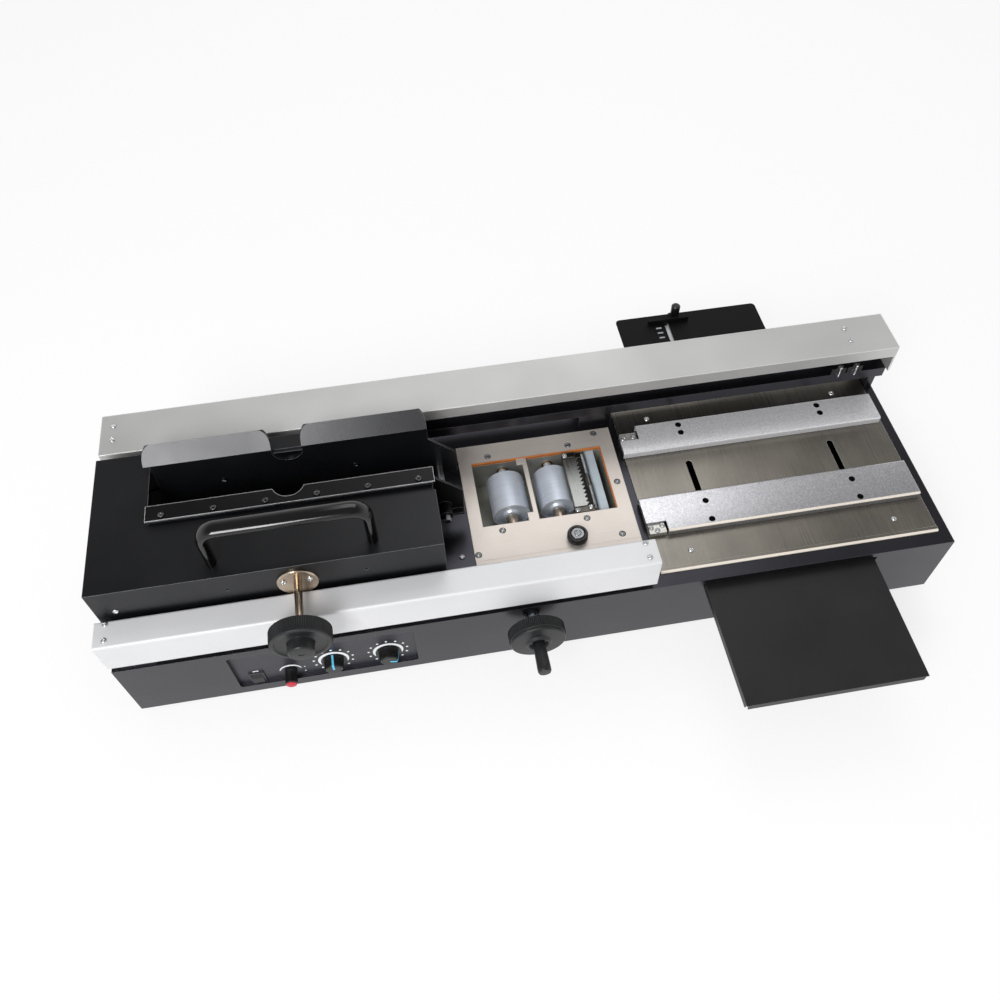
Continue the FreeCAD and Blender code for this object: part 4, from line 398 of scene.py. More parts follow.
RIB, DIAL_RIBS, DIAL_RIM, CAP_RIBS, CAP_RIM = 0.45, 36, 9.95, 24, 6.95
POINTER_HALF, POINTING = 1.25, {"left": 0, "right": 110}
outwards = Matrix.Rotation(math.radians(-90), 4, "Z")
taper = [(-0.3, 1), (2.3, 1), (0.45, 13), (-0.3, 13)]
inlay = [(8.9, 0.8), (12.7, 0.8), (11.0, 13.4), (9.6, 14.9), (1.2, 14.9), (1.2, 14.4), (8.9, 14.2)]
for side, (across, up) in DIALS.items():
    place = facing_front(across, PANEL_FACE, up)
    rib = slanted_bar("rib", RIB / 2, taper, outwards)
    step = 360 / DIAL_RIBS
    name = f"{side}_dial_ribs"
    ribs = ring(name, rib, DIAL_RIBS, DIAL_RIM, step / 2, step, knob_plastic, place)
    keep(name, ribs, None, f"{side}_control")
    turn = place @ Matrix.Rotation(math.radians(-POINTING[side]), 4, "Z")
    pointer = slanted_bar("pointer", POINTER_HALF, inlay, turn)
    keep(f"{side}_dial_pointer", pointer, blue_plastic, f"{side}_control")
place = facing_front(CAP[0], PANEL_FACE, CAP[1])
rib = bar("rib", (-0.2, -RIB / 2, 2), (RIB * 0.8, RIB / 2, 16.5))
ribs = ring("cap_ribs", rib, CAP_RIBS, CAP_RIM, 0, 360 / CAP_RIBS, knob_plastic, place)
keep("cap_knob_ribs", ribs, None, "cap_control")
disc = [(0, 18.2), (5.9, 18.2), (6.3, 18.5), (6.1, 19.3), (5.2, 19.8), (0, 20.0)]
keep("cap_knob_disc", turned("disc", disc, 48, place), red_plastic, "cap_control")

# Switch and inlet. Both are nylon, injection-moulded in a polished tool, so they shine. A small
# white bar is drawn above the switch. The control board behind the fascia is green glass epoxy,
# half matt under its lacquer.
gloss_plastic = moulded("polished_nylon", "#0A0A0B", "#121213", 0.14, 2.5, 0.00001)
dress(gloss_plastic, "power_rocker", "power_inlet")
mark = bar("mark", (142.5, -0.12, 40.6), (149.5, 0, 42.6), Matrix.Translation(at(0, PANEL_FACE, 0)))
keep("switch_mark", mark, white_ink, "machine")
board_laminate = moulded("glass_epoxy_board", "#1E5A34", "#2A6E42", 0.45, 0.6)
dress(board_laminate, "control_board")


# Rails. The front rail is extruded aluminium and the rear cover is folded from sheet. Both are
# blasted with fine grit and clear anodised, which leaves them pale and even, without a grain.
# Their bends are painted brighter: a painted highlight.
def blasted_metal(
    name, dark, light, edge, roughness, grit, cloud_size=140, depth=0.00003, bend=1.2, metallic=1.0
):
    """Metal with no grain: GRIT is the width in millimetres of its dents, drawn several times as
    coarse as they are, so that they show, and BEND is the radius of its folds. A thick oxide,
    which scatters light, makes it less METALLIC. EDGE is a paler colour painted along the
    folds and edges: a painted highlight."""
    material, tree, shader, place = new_finish(name, Metallic=metallic)
    sockets = {"Vector": place, "Scale": per(grit), "Detail": 2.0}
    dents = add(tree, "ShaderNodeTexNoise", sockets).outputs[0]
    sockets = {"Vector": place, "Scale": per(cloud_size), "Detail": 2.0}
    cloud = add(tree, "ShaderNodeTexNoise", sockets).outputs[0]
    eased, flatness = eased_edges(tree, bend / 1000)
    relief = {"Height": dents, "Distance": depth, "Strength": 1.0, "Normal": eased}
    base = spread(tree, cloud, dark, light)
    # The folds and edges take the EDGE colour: a painted highlight.
    feed(
        tree,
        shader,
        Base_Color=spread(tree, flatness, colour(edge), base, FOLDED, FLAT),
        Roughness=spread(tree, dents, roughness, roughness + 0.1),
        Normal=add(tree, "ShaderNodeBump", relief).outputs[0],
    )
    return material


rear_aluminium = blasted_metal(
    "anodised_aluminium_rear", "#B9B9B7", "#C8C8C6", "#F8F8F8", 0.44, 0.9, bend=2.2, metallic=0.6
)
front_aluminium = blasted_metal(
    "anodised_aluminium_front", "#D4D5D7", "#DEDEE0", "#FCFCFC", 0.5, 0.9, bend=1.8, metallic=0.25
)
dress(rear_aluminium, "rear_rail_cover")
dress(front_aluminium, "front_rail")

# Guide. A hardened steel rail, ground bright, runs along the channel for the carriage's
# bearings. Two switches stand near its right end, with levers of polished spring steel.
ground_steel = blasted_metal("ground_steel", "#8E9092", "#A5A6A8", "#C4C5C6", 0.24, 0.6, 20)
spring_steel = blasted_metal("polished_spring_steel", "#E2E4E6", "#F0F1F2", "#FFFFFF", 0.16, 0.5, 8)
dress(ground_steel, "linear_rail", "bearing_blocks", "jaw_guide_rods", "jaw_nut")
# The gears and the nippers' drive, out of sight, are ground steel too, and look the same.
dress(ground_steel, "first_roller_gear", "idler_gear", "second_roller_gear")
dress(ground_steel, "nip_yoke", "nip_screw", "nip_motor")
dress(spring_steel, "first_switch_lever", "second_switch_lever")
dress(knob_plastic, "limit_switches")


# Glue station. A stainless plate with two windows, brushed along the machine, is bolted down
# over a tank of sand-cast aluminium, grainy and grey. The plate's front edge is folded toward
# the rail, and an amber silicone gasket bulges out at the window's edges.
ROLLED_CLOUD, SHEET_EDGE = 70, 0.0007


def brushed(name, dark, light, lines, roughness, line, length, depth=0.00004, axis=0, metallic=1.0):
    """Brushed metal: LINE and LENGTH are a scratch's width and length in millimetres, drawn some
    ten times as wide as it is, so that it shows. AXIS is the way of the brush. Its edges and
    folds are painted a pale cream: a painted highlight."""
    material, tree, shader, place = new_finish(name, Metallic=metallic)
    stretch = [per(line)] * 3
    stretch[axis] = per(length)
    along = add(tree, "ShaderNodeMapping", {"Vector": place, "Scale": stretch}).outputs[0]
    sockets = {"Vector": along, "Scale": 1.0, "Detail": 4.0}
    scratches = add(tree, "ShaderNodeTexNoise", sockets).outputs[0]
    eased, flatness = eased_edges(tree, SHEET_EDGE)
    sockets = {"Vector": place, "Scale": per(ROLLED_CLOUD), "Detail": 3.0}
    cloud = add(tree, "ShaderNodeTexNoise", sockets).outputs[0]
    tint = spread(tree, cloud, dark, light)
    shade = spread(tree, scratches, lines, "#FFFFFF")
    layers = {0: 1.0, 6: tint, 7: shade}
    both = add(tree, "ShaderNodeMix", layers, data_type="RGBA", blend_type="MULTIPLY").outputs[2]
    relief = {"Height": scratches, "Distance": depth, "Strength": 1.0, "Normal": eased}
    # The pale cream on edges and folds is a painted highlight.
    feed(
        tree,
        shader,
        Base_Color=spread(tree, flatness, colour("#F6F3EE"), both, FOLDED, FLAT),
        Roughness=spread(tree, scratches, roughness, roughness + 0.12),
        Normal=add(tree, "ShaderNodeBump", relief).outputs[0],
    )
    return material


plate_steel = brushed(
    "brushed_stainless_plate", "#E6DDD5", "#F0E7DF", "#F2F2F2", 0.42, 0.5, 60, 0.00001, 0, 0.65
)
dress(plate_steel, "glue_cover_plate")
DATUM = Matrix.Translation(at(0, 0, 0))
PLATE_LEFT, PLATE_RIGHT, PLATE_LOW, PLATE_HIGH = 424, 628, 103, 105
flange = bar("flange", (PLATE_LEFT, 58, PLATE_LOW), (PLATE_RIGHT, 71.2, PLATE_HIGH), DATUM)
keep("plate_front_flange", flange, plate_steel, "machine")
seal_silicone = moulded("amber_silicone", "#A85A20", "#C67A38", 0.35, 1.2)
dress(seal_silicone, "tank_seal")


def rod(name, start, end, radius, sides=16):
    """A round rod between two places in millimetres, with a small chamfer at each end."""
    way = at(*end) - at(*start)
    reach, easing = way.length * 1000, radius * 0.25
    turn = Matrix.Translation(at(*start)) @ way.to_track_quat("Z", "Y").to_matrix().to_4x4()
    profile = [(0, 0), (radius - easing, 0), (radius, easing)]
    profile += [(radius, reach - easing), (radius - easing, reach), (0, reach)]
    return turned(name, profile, sides, turn)


SEAL_BEAD = 1.1
bead = rod("bead", (440, 217, 104.7), (610, 217, 104.7), SEAL_BEAD)
keep("rear_seal_bead", bead, seal_silicone, "machine")
bead = rod("bead", (609.4, 120, 104.4), (609.4, 217, 104.4), SEAL_BEAD)
keep("side_seal_bead", bead, seal_silicone, "machine")
cast_aluminium = blasted_metal(
    "cast_aluminium", "#A0A19B", "#B6B7B0", "#CACBC6", 0.4, 2.2, 30, metallic=0.7
)
dress(cast_aluminium, "glue_tank", "heater_plate")
# The bushes are sintered bronze, brown and dull, and the wiper is enamelled a glossy blue grey.
bronze = blasted_metal("sintered_bronze", "#8A6A3E", "#9C7B4B", "#B8966A", 0.45, 0.6, 12)
dress(bronze, "roller_bushes")
wiper_enamel = moulded("blue_grey_enamel", "#A6B2BA", "#B4BFC7", 0.3, 1.6)
dress(wiper_enamel, "wiper_bar")

# Rollers. Aluminium drums turned on a lathe, so fine rings run round them. Their chamfered ends
# are painted bright: a painted highlight. Sleeves of turned bronze, warm in colour, sit on the
# shafts at both ends.
roller_metal = brushed(
    "turned_aluminium_drum", "#D2DAE6", "#E4ECF8", "#EEEEEE", 0.38, 60, 0.9, 0.000008, 1, 0.5
)
dress(roller_metal, "first_glue_roller", "second_glue_roller")
ROLLERS, ROLLER_AXIS = {"first_roller": 480.5, "second_roller": 540.5}, 81.5
SHAFT, SLEEVE_FACE, SLEEVE, SLEEVE_EASING = 5.1, 7.2, 7.6, 0.5
facing_back = Matrix.Rotation(math.radians(-90), 4, "X")
sleeve_bronze = blasted_metal(
    "turned_bronze_sleeve", "#B3A290", "#C8B8A6", "#E8DCCC", 0.28, 0.5, 10
)
for body, across in ROLLERS.items():
    for end, start, stop in (("front", 127.5, 143.0), ("rear", 201.0, 211.0)):
        long = stop - start
        sleeve = [(SHAFT, 0), (SLEEVE_FACE, 0), (SLEEVE, SLEEVE_EASING)]
        sleeve += [(SLEEVE, long - SLEEVE_EASING), (SLEEVE_FACE, long), (SHAFT, long), (SHAFT, 0)]
        place = Matrix.Translation(at(across, start, ROLLER_AXIS)) @ facing_back
        keep(f"{body}_{end}_sleeve", turned("sleeve", sleeve, 40, place), sleeve_bronze, body)


# Wheels. The clamp's wheel and the rollers' hand wheel are moulded in filled nylon, a dull
# greyish black, with a fine straight knurl round the rim. The hand wheel ends in a long grip.
def joined(name, parts):
    """Several closed meshes as one."""
    whole = bmesh.new()
    for part in parts:
        whole.from_mesh(part)
    mesh = bpy.data.meshes.new(name)
    whole.to_mesh(mesh)
    whole.free()
    return mesh


def knurled(name, profile, shape, count, radius, turn, material):
    """A turned body and the ridges round its rim, as one mesh."""
    core = turned("core", profile, 96, turn)
    return joined(name, [core, ring("knurl", shape, count, radius, 0, 360 / count, material, turn)])


def ridge(width, rise, low, high):
    """One ridge of a straight knurl: a three-sided bar along Z, chamfered at both ends."""
    points = []
    for height, share in ((low, 0.1), (low + rise, 1), (high - rise, 1), (high, 0.1)):
        points += [(-0.6, -width / 2, height), (rise * share, 0, height), (-0.6, width / 2, height)]
    faces = [(0, 1, 2), (9, 10, 11)]
    for i in (0, 3, 6):
        for j in range(3):
            faces.append((i + j, i + (j + 1) % 3, i + (j + 1) % 3 + 3, i + j + 3))
    return closed_mesh("ridge", [Vector(point) / 1000 for point in points], faces)


wheel_nylon = moulded("filled_nylon_wheel", "#141516", "#1E1F21", 0.34, 0.9, specular=0.42)
KNURLS, WHEEL_RIM = 90, 32.6
clamp_profile = [
    (0, 24), (30.8, 24), (32.0, 24.6), (WHEEL_RIM, 25.6), (WHEEL_RIM, 40.9), (32.0, 41.9),
    (30.8, 42.5), (28.6, 42.3), (27.4, 40.9), (18, 39.6), (15.2, 40.6), (14.6, 43), (13.9, 52),
    (12.9, 53.2), (11.5, 53.5), (3.4, 53.5), (3.2, 53.0), (0, 53.0),
]
CLAMP = (224, 180)
place = facing_front(CLAMP[0], 0, CLAMP[1])
knurl = ridge(1.7, 1.0, 25.2, 41.3)
wheel = knurled("clamp_wheel", clamp_profile, knurl, KNURLS, WHEEL_RIM, place, wheel_nylon)
wheel = keep("clamp_wheel", wheel, wheel_nylon, "clamp_spindle")
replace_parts(wheel, "clamp_knob")
hand_profile = [
    (0, 6), (12.2, 6), (13, 7), (13, 18), (25, 18), (27, 16.3), (30.8, 16), (WHEEL_RIM, 17.4),
    (WHEEL_RIM, 29.8), (31.7, 30.6), (31.9, 31.4), (WHEEL_RIM, 32.0), (WHEEL_RIM, 33.4),
    (31.4, 34.8), (29.5, 35), (16, 35.6), (14.2, 37.6), (13.2, 38.4), (11.6, 38.2), (9.6, 34.6),
    (7.2, 34.2), (7.4, 44), (8, 68), (7.9, 71.5), (6.8, 73.6), (0, 74),
]
place = facing_front(ROLLERS["first_roller"], 0, ROLLER_AXIS)
knurl = ridge(1.7, 1.0, 17.2, 29.6)
wheel = knurled("roller_wheel", hand_profile, knurl, KNURLS, WHEEL_RIM, place, wheel_nylon)
wheel = keep("roller_wheel", wheel, wheel_nylon, "first_roller")
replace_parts(wheel, "handwheel")

# Film adjuster. A carrier of oiled steel, dark and greasy, holds the brushed blade over the
# second roller. A knurled plastic thumb screw with a turned steel insert sets its height. Two
# springs sit on a rod beside the blade, and a small clamp holds the blade's rear end.
carrier_steel = blasted_metal("oiled_steel_carrier", "#4C4A46", "#6A665F", "#B8B2A8", 0.26, 0.7, 12)
blade_steel = brushed(
    "brushed_stainless_blade", "#A9ABA8", "#BFC1BE", "#CFCFCF", 0.26, 0.6, 30, 0.00004, 1
)
dress(carrier_steel, "blade_frame")
dress(blade_steel, "doctor_blade")
THUMB, THUMB_KNURLS, THUMB_RIM = (551, 84, 105.3), 48, 11.95
place = Matrix.Translation(at(*THUMB))
thumb_profile = [
    (0, -16), (3, -16), (3, 0), (11.4, 0), (12, 0.6), (12, 9.2), (11.2, 10), (9.4, 10), (8.8, 9.4),
    (8.6, 7.6), (5.6, 7.6), (5.4, 8), (0, 8),
]
knurl = ridge(1.5, 0.7, 0.4, 9.4)
thumb = knurled(
    "film_thumb_screw", thumb_profile, knurl, THUMB_KNURLS, THUMB_RIM, place, knob_plastic
)
thumb = keep("film_thumb_screw", thumb, knob_plastic, "film_screw")
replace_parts(thumb, "film_knob")
insert = [
    (0, 7.8), (7.9, 7.8), (7.9, 9.4), (7.4, 9.9), (4.6, 9.9), (4.2, 9.2), (3.6, 9.2), (3.2, 10),
    (0, 10),
]
turned_steel = blasted_metal(
    "turned_steel_insert", "#77797B", "#8E9093", "#E4E4E4", 0.26, 0.4, 6, bend=0.6
)
keep("film_thumb_insert", turned("insert", insert, 40, place), turned_steel, "film_screw")
SPRING_PITCH, SPRING_COILS, SPRING_OUTER, SPRING_INNER = 1.7, 18, 2.4, 1.5
ROD_X, ROD_Z, BLADE_CLAMP_TOP = 583.7, 104.2, 106.2
radii = [SPRING_OUTER if k % 2 else SPRING_INNER for k in range(2 * SPRING_COILS + 1)]
wave = [(radius, SPRING_PITCH * k / 2) for k, radius in enumerate(radii)]
spring = [(0, 0)] + wave + [(0, SPRING_PITCH * SPRING_COILS)]
for k, start in enumerate((128, 178)):
    turn = Matrix.Translation(at(ROD_X, start, ROD_Z)) @ facing_back
    keep(f"blade_spring_{k}", turned("spring", spring, 20, turn), turned_steel, "film_blade")
blade_rod = rod("rod", (ROD_X, 123, ROD_Z), (ROD_X, 213, ROD_Z), 1.2)
keep("blade_rod", blade_rod, turned_steel, "film_blade")
clamp = bar("clamp", (558, 205.5, 102.3), (574, 213.5, BLADE_CLAMP_TOP), DATUM)
keep("blade_clamp", clamp, carrier_steel, "film_blade")

# Cover station. The tray is brushed stainless sheet with its front edge folded over; a pale rod
# along that fold is a painted highlight. The nippers that press the cover are channels folded
# from galvanised sheet, whose zinc has fine pale crystals, and each has a nickel-plated latch in
# a cut corner at its left end.
tray_steel = brushed(
    "brushed_stainless_tray", "#827E77", "#959087", "#F2F2F2", 0.26, 0.6, 70, 0.000002, 1
)
dress(tray_steel, "cover_tray")
# A pale, half-diffuse steel for the rods laid along the folds: a painted highlight.
fold_highlight_steel = brushed(
    "bright_folded_steel", "#F1E8DC", "#FBF2E6", "#F6F6F6", 0.3, 0.6, 70, 0.000004, 0, 0.3
)
fold = rod("fold", (638, 19.0, 103.8), (986.6, 19.0, 103.8), 2.0)
keep("tray_front_fold", fold, fold_highlight_steel, "machine")
front_zinc = blasted_metal(
    "galvanised_sheet_front", "#BABABE", "#D8D8DC", "#FFFFFF", 0.24, 0.8, 2.0, 0.00001, 1.0, 0.95
)
# The rear nipper's zinc is the same sheet, drawn paler and less metallic than the front's: painted
# light.
rear_zinc = blasted_metal(
    "galvanised_sheet_rear", "#D4D4D8", "#EDEDF0", "#FFFFFF", 0.26, 0.8, 2.0, 0.00001, 1.0, 0.45
)
dress(housing_coat, "nip_frame")
latch_nickel = blasted_metal(
    "polished_nickel_latch", "#B9B6B0", "#D6D3CD", "#FFFFFF", 0.22, 1.4, 8, 0.00001, 0.8, 0.6
)
NIPPER_LEFT, NIPPER_CORNER, NIPPER_RIGHT = 636, 661, 983
NIPPER_LOW, NIPPER_TOP, LATCH_TOP, SHEET, FOLD, FOLD_STEPS = 105, 115, 111.5, 2, 2.6, 6


def folded_sheet(name, left, right, line):
    """Sheet metal of even thickness along X; LINE is its outer outline as (y, z), front to rear."""
    outer, count = [], len(line)
    for k, (y, z) in enumerate(line):
        if k in (0, count - 1):
            outer.append((y, z))
            continue
        corner = Vector((y, z))
        before = (Vector(line[k - 1]) - corner).normalized()
        after = (Vector(line[k + 1]) - corner).normalized()
        centre = corner + (before + after) * FOLD
        for step in range(FOLD_STEPS + 1):
            share = math.radians(90 / FOLD_STEPS * step)
            spoke = -after * math.cos(share) - before * math.sin(share)
            outer.append(tuple(centre + spoke * FOLD))
    inner = []
    for k, spot in enumerate(outer):
        way = Vector(outer[min(k + 1, len(outer) - 1)]) - Vector(outer[max(k - 1, 0)])
        side = Vector((way.y, -way.x)).normalized()
        inner.append(tuple(Vector(spot) + side * SHEET))
    rim = outer + inner[::-1]
    points = [Vector((x, y, z)) / 1000 for x in (left, right) for y, z in rim]
    size, half = len(rim), len(outer)
    faces = [(i, (i + 1) % size, (i + 1) % size + size, i + size) for i in range(size)]
    for base in (0, size):
        last = base + size - 1
        faces += [(base + i, base + i + 1, last - 1 - i, last - i) for i in range(half - 1)]
    return closed_mesh(name, points, faces, DATUM)


def channel(name, front, rear, short):
    """A nipper's channel; SHORT is the outline of its left end, beside the latch."""
    full = [(front, NIPPER_LOW), (front, NIPPER_TOP), (rear, NIPPER_TOP), (rear, NIPPER_LOW)]
    long_run = folded_sheet("long", NIPPER_CORNER, NIPPER_RIGHT, full)
    short_run = folded_sheet("short", NIPPER_LEFT, NIPPER_CORNER, short)
    return joined(name, [long_run, short_run])


rear_short = [(192, NIPPER_LOW), (192, NIPPER_TOP), (213, NIPPER_TOP)]
rear_channel = channel("rear_channel", 192, 236, rear_short)
rear_channel = keep("rear_channel", rear_channel, rear_zinc, "machine")
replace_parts(rear_channel, "rear_nipper")
front_short = [(83, NIPPER_TOP), (121, NIPPER_TOP), (121, NIPPER_LOW)]
front_channel = channel("front_channel", 68, 121, front_short)
front_channel = keep("front_channel", front_channel, front_zinc, "moving_nipper")
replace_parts(front_channel, "front_nipper")
# A pale rod along the front nipper's fold: a painted highlight.
fold = rod("fold", (NIPPER_CORNER, 69.9, 113.2), (NIPPER_RIGHT - 0.5, 69.9, 113.2), 1.95)
keep("nipper_front_fold", fold, fold_highlight_steel, "moving_nipper")
for side, body, low, high in (("rear", "machine", 211, 227), ("front", "moving_nipper", 69, 85)):
    latch = bar("latch", (638, low, NIPPER_LOW), (659, high, LATCH_TOP), DATUM)
    keep(f"{side}_latch", latch, latch_nickel, body)

# Tables. Two shelves of folded steel, bolted to the housing. The front one has a satin black
# coat; the rear one's coat is drawn matt and darker, the darker colour a painted shade. The rear
# one is slotted for the sheet stop, over a pale aluminium guide, with a short scale in grey ink
# beside the slot.
table_coat = powder_coat("satin_black_coat_table", "#121112", "#191819", "#48484A", 0.4, 1.2, 0.5)
# The darker colour of the rear table and the fence is a painted shade.
matt_painted_shade_coat = powder_coat("matt_black_coat_table", "#0B0A0B", "#110F11", "#2C2C2E", 0.5, 1.2, 0.14)
dress(table_coat, "front_table")
dress(matt_painted_shade_coat, "rear_table", "stop_fence")
grey_ink = moulded("grey_screen_ink", "#9C9EA0", "#B0B2B4", 0.5, 0.4, 0.00001)
for k, y in enumerate((408, 417.6, 427.2)):
    tick = bar("tick", (745, y, 90.0), (753, y + 2.6, 90.12), DATUM)
    keep(f"table_tick_{k}", tick, grey_ink, "machine")
guide = bar("guide", (756.5, 300, 84.4), (767.5, 442, 86.1), DATUM)
keep("table_slot_guide", guide, front_aluminium, "machine")

# Carriage. A folded cover over a welded frame, with two jaws, all powder-coated satin black.
# The two lips of the fixed jaw lean back and catch the light. The handle is an oval steel bar,
# bent twice and lacquered to a gloss, and the clamp's screw and flange are warm nickel plate.
# The pale grey on the carriage's and jaws' folds is partly wear, partly painted highlight.
carriage_coat = powder_coat(
    "black_powder_coat_carriage", "#08090A", "#0D0E10", "#84868A", 0.3, 1.4, 0.35
)
lip_coat = powder_coat(
    "satin_black_coat_jaws", "#0D0E10", "#141518", "#A6A8AC", 0.25, 1.4, 0.56, bend=0.3
)
# The strip's edges are painted near white: a painted highlight where light glints on them.
strip_coat = powder_coat(
    "black_coat_strip", "#050506", "#0A0A0B", "#F4F4F6", 0.3, 1.4, 0.2, bend=1.5
)
dress(carriage_coat, "carriage_cover", "carriage_frame", "front_jaw")
dress(lip_coat, "rear_jaw")
dress(strip_coat, "jaw_strip")
handle_gloss = moulded("gloss_black_lacquer", "#030303", "#060606", 0.08, 30, 0.00001, 0.55)
HANDLE_LEFT, HANDLE_RIGHT, HANDLE_BACK, HANDLE_LOW, HANDLE_HIGH = 138.5, 312, 59, 210.6, 267.2
HANDLE_BEND, HANDLE_THIN, HANDLE_WIDE, HANDLE_SIDES, BEND_STEPS = 18, 6.2, 10.2, 48, 12


def bent_bar(name):
    """The handle: an oval bar bent twice, lofted through sections along its centre line."""
    straight = HANDLE_HIGH - HANDLE_BEND
    stations = [(HANDLE_LEFT, HANDLE_LOW, 180), (HANDLE_LEFT, straight, 180)]
    for centre, first in ((HANDLE_LEFT + HANDLE_BEND, 180), (HANDLE_RIGHT - HANDLE_BEND, 90)):
        for step in range(BEND_STEPS + 1):
            lean = first - 90 / BEND_STEPS * step
            angle = math.radians(lean)
            across = centre + HANDLE_BEND * math.cos(angle)
            stations.append((across, straight + HANDLE_BEND * math.sin(angle), lean))
    stations.append((HANDLE_RIGHT, HANDLE_LOW, 0))
    points, faces = [], []
    for across, up, lean in stations:
        outwards = Vector((math.cos(math.radians(lean)), 0, math.sin(math.radians(lean))))
        for i in range(HANDLE_SIDES):
            turn = 2 * math.pi * i / HANDLE_SIDES
            spoke = outwards * HANDLE_THIN * math.cos(turn)
            spoke += Vector((0, HANDLE_WIDE * math.sin(turn), 0))
            points.append(at(across, HANDLE_BACK, up) + spoke / 1000)
    for k in range(len(stations) - 1):
        for i in range(HANDLE_SIDES):
            low, high, far = k * HANDLE_SIDES, (k + 1) * HANDLE_SIDES, (i + 1) % HANDLE_SIDES
            faces.append((low + i, low + far, high + far, high + i))
    faces += [tuple(range(HANDLE_SIDES)), tuple(range(len(points) - HANDLE_SIDES, len(points)))]
    return closed_mesh(name, points, faces)


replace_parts(keep("oval_handle", bent_bar("oval_handle"), handle_gloss, "carriage"), "handle")
nickel = blasted_metal("nickel_plate", "#A39482", "#B9AA97", "#F6EBDC", 0.16, 0.8, 16, 0.00001)
dress(nickel, "clamp_flange", "clamp_screw")
# The shoe that slides in the front rail is acetal, milky white and waxy.
acetal = moulded("white_acetal", "#D5D4CE", "#E0DFDA", 0.35, 1.2)
dress(acetal, "slide_shoe")

# Screws. Bright zinc-plated pan heads with a cross recess hold the sheet metal. Socket screws
# in black oxide hold the jaw's strip. The glue plate's screws sit in flat dark rings, painted
# shade that stands for their countersinks, and phosphated grub screws set the nippers, drawn
# nearly black, which adds painted shade for the holes they sit in.
zinc = blasted_metal("zinc_plated_steel", "#C6C9CB", "#DADCDE", "#FFFFFF", 0.2, 0.5, 6)
# Phosphated steel drawn nearly black, so that the grub screws also paint the shade of their holes.
phosphate_and_hole_shade = blasted_metal("phosphated_steel", "#08080A", "#0E0E10", "#1C1C1E", 0.5, 0.8, 6, 0.00001)
black_oxide = blasted_metal(
    "black_oxide_steel", "#18181A", "#242426", "#B4B4B6", 0.3, 0.8, 6, 0.00001
)


def set_tree():
    """Geometry Nodes that set copies of one shape on points, along each point's own way out."""
    tree = bpy.data.node_groups.new("copies_on_points", "GeometryNodeTree")
    for label, kind in (
        ("Geometry", "NodeSocketGeometry"),
        ("Shape", "NodeSocketObject"),
        ("Material", "NodeSocketMaterial"),
    ):
        tree.interface.new_socket(label, in_out="INPUT", socket_type=kind)
    tree.interface.new_socket("Geometry", in_out="OUTPUT", socket_type="NodeSocketGeometry")
    given = add(tree, "NodeGroupInput").outputs
    points = add(tree, "GeometryNodeMeshToPoints", {"Mesh": given["Geometry"]}).outputs[0]
    label = {"Name": "way_out"}
    way = add(tree, "GeometryNodeInputNamedAttribute", label, data_type="FLOAT_VECTOR").outputs[0]
    turn = add(tree, "FunctionNodeAlignRotationToVector", {"Vector": way}, axis="Z").outputs[0]
    shape = add(tree, "GeometryNodeObjectInfo", {"Object": given["Shape"]}).outputs["Geometry"]
    sockets = {"Points": points, "Instance": shape, "Rotation": turn}
    copies = add(tree, "GeometryNodeInstanceOnPoints", sockets).outputs[0]
    solid = add(tree, "GeometryNodeRealizeInstances", {"Geometry": copies}).outputs[0]
    sockets = {"Geometry": solid, "Material": given["Material"]}
    done = add(tree, "GeometryNodeSetMaterial", sockets).outputs[0]
    add(tree, "NodeGroupOutput", {"Geometry": done})
    return tree


def recessed(name, profile, recess, sides=24):
    """A screw's head: a turned profile whose last two rows follow the recess's outline."""
    points, faces = [], []
    for k, (radius, height) in enumerate(profile):
        for i in range(sides):
            angle = 2 * math.pi * i / sides
            reach = radius * (recess(angle) if k >= len(profile) - 2 else 1)
            points.append(Vector((reach * math.cos(angle), reach * math.sin(angle), height)) / 1000)
    for k in range(len(profile) - 1):
        for i in range(sides):
            low, high = k * sides, (k + 1) * sides
            near, far = i, (i + 1) % sides
            faces.append((low + near, low + far, high + far, high + near))
    faces += [tuple(range(sides)), tuple(range(len(points) - sides, len(points)))]
    return closed_mesh(name, points, faces)


CROSS_ARM, SOCKET_FLAT = 0.3, 0.866  # how far an arm's side and a socket's flat are out


def cross(angle):
    """The outline of a cross recess, against the reach of its arms."""
    off = (angle + math.pi / 4) % (math.pi / 2) - math.pi / 4
    return min(1 / math.cos(off), CROSS_ARM / max(abs(math.sin(off)), 0.001))


def hexagon(angle):
    """The outline of a hexagon socket, against its widest reach."""
    off = (angle + math.pi / 6) % (math.pi / 3) - math.pi / 6
    return SOCKET_FLAT / math.cos(off)


domed = [(3.4, 0), (3.5, 0.5), (3.2, 1.3), (2.6, 1.9), (2.0, 2.15), (1.9, 2.2), (1.7, 0.8)]
pan_head = recessed("pan_head", domed, cross)
upright = [(3.3, 0), (3.45, 0.3), (3.45, 1.7), (3.1, 2.15), (2.4, 2.2), (1.9, 2.2), (1.85, 0.7)]
socket_head = recessed("socket_head", upright, hexagon)
level = [(3.4, 0), (3.4, 0.15), (3.1, 0.3), (2.4, 0.3), (2.0, 0.3), (1.8, -0.7)]
sunk_head = recessed("sunk_head", level, hexagon)
# Flat dark rings under the plate's screws: painted shade for their countersinks.
shade_ring_outline = [(3.3, -0.05), (4.3, -0.05), (4.3, 0.1), (4.1, 0.14), (3.3, 0.14), (3.3, -0.05)]
dark_ring = turned("dark_ring", shade_ring_outline, 32)
plug = [(4.0, -0.3), (4.0, 0.1), (3.8, 0.3), (2.8, 0.3), (2.0, 0.3), (1.9, 0.02)]
grub = recessed("grub_screw", plug, hexagon)
copies_on = set_tree()


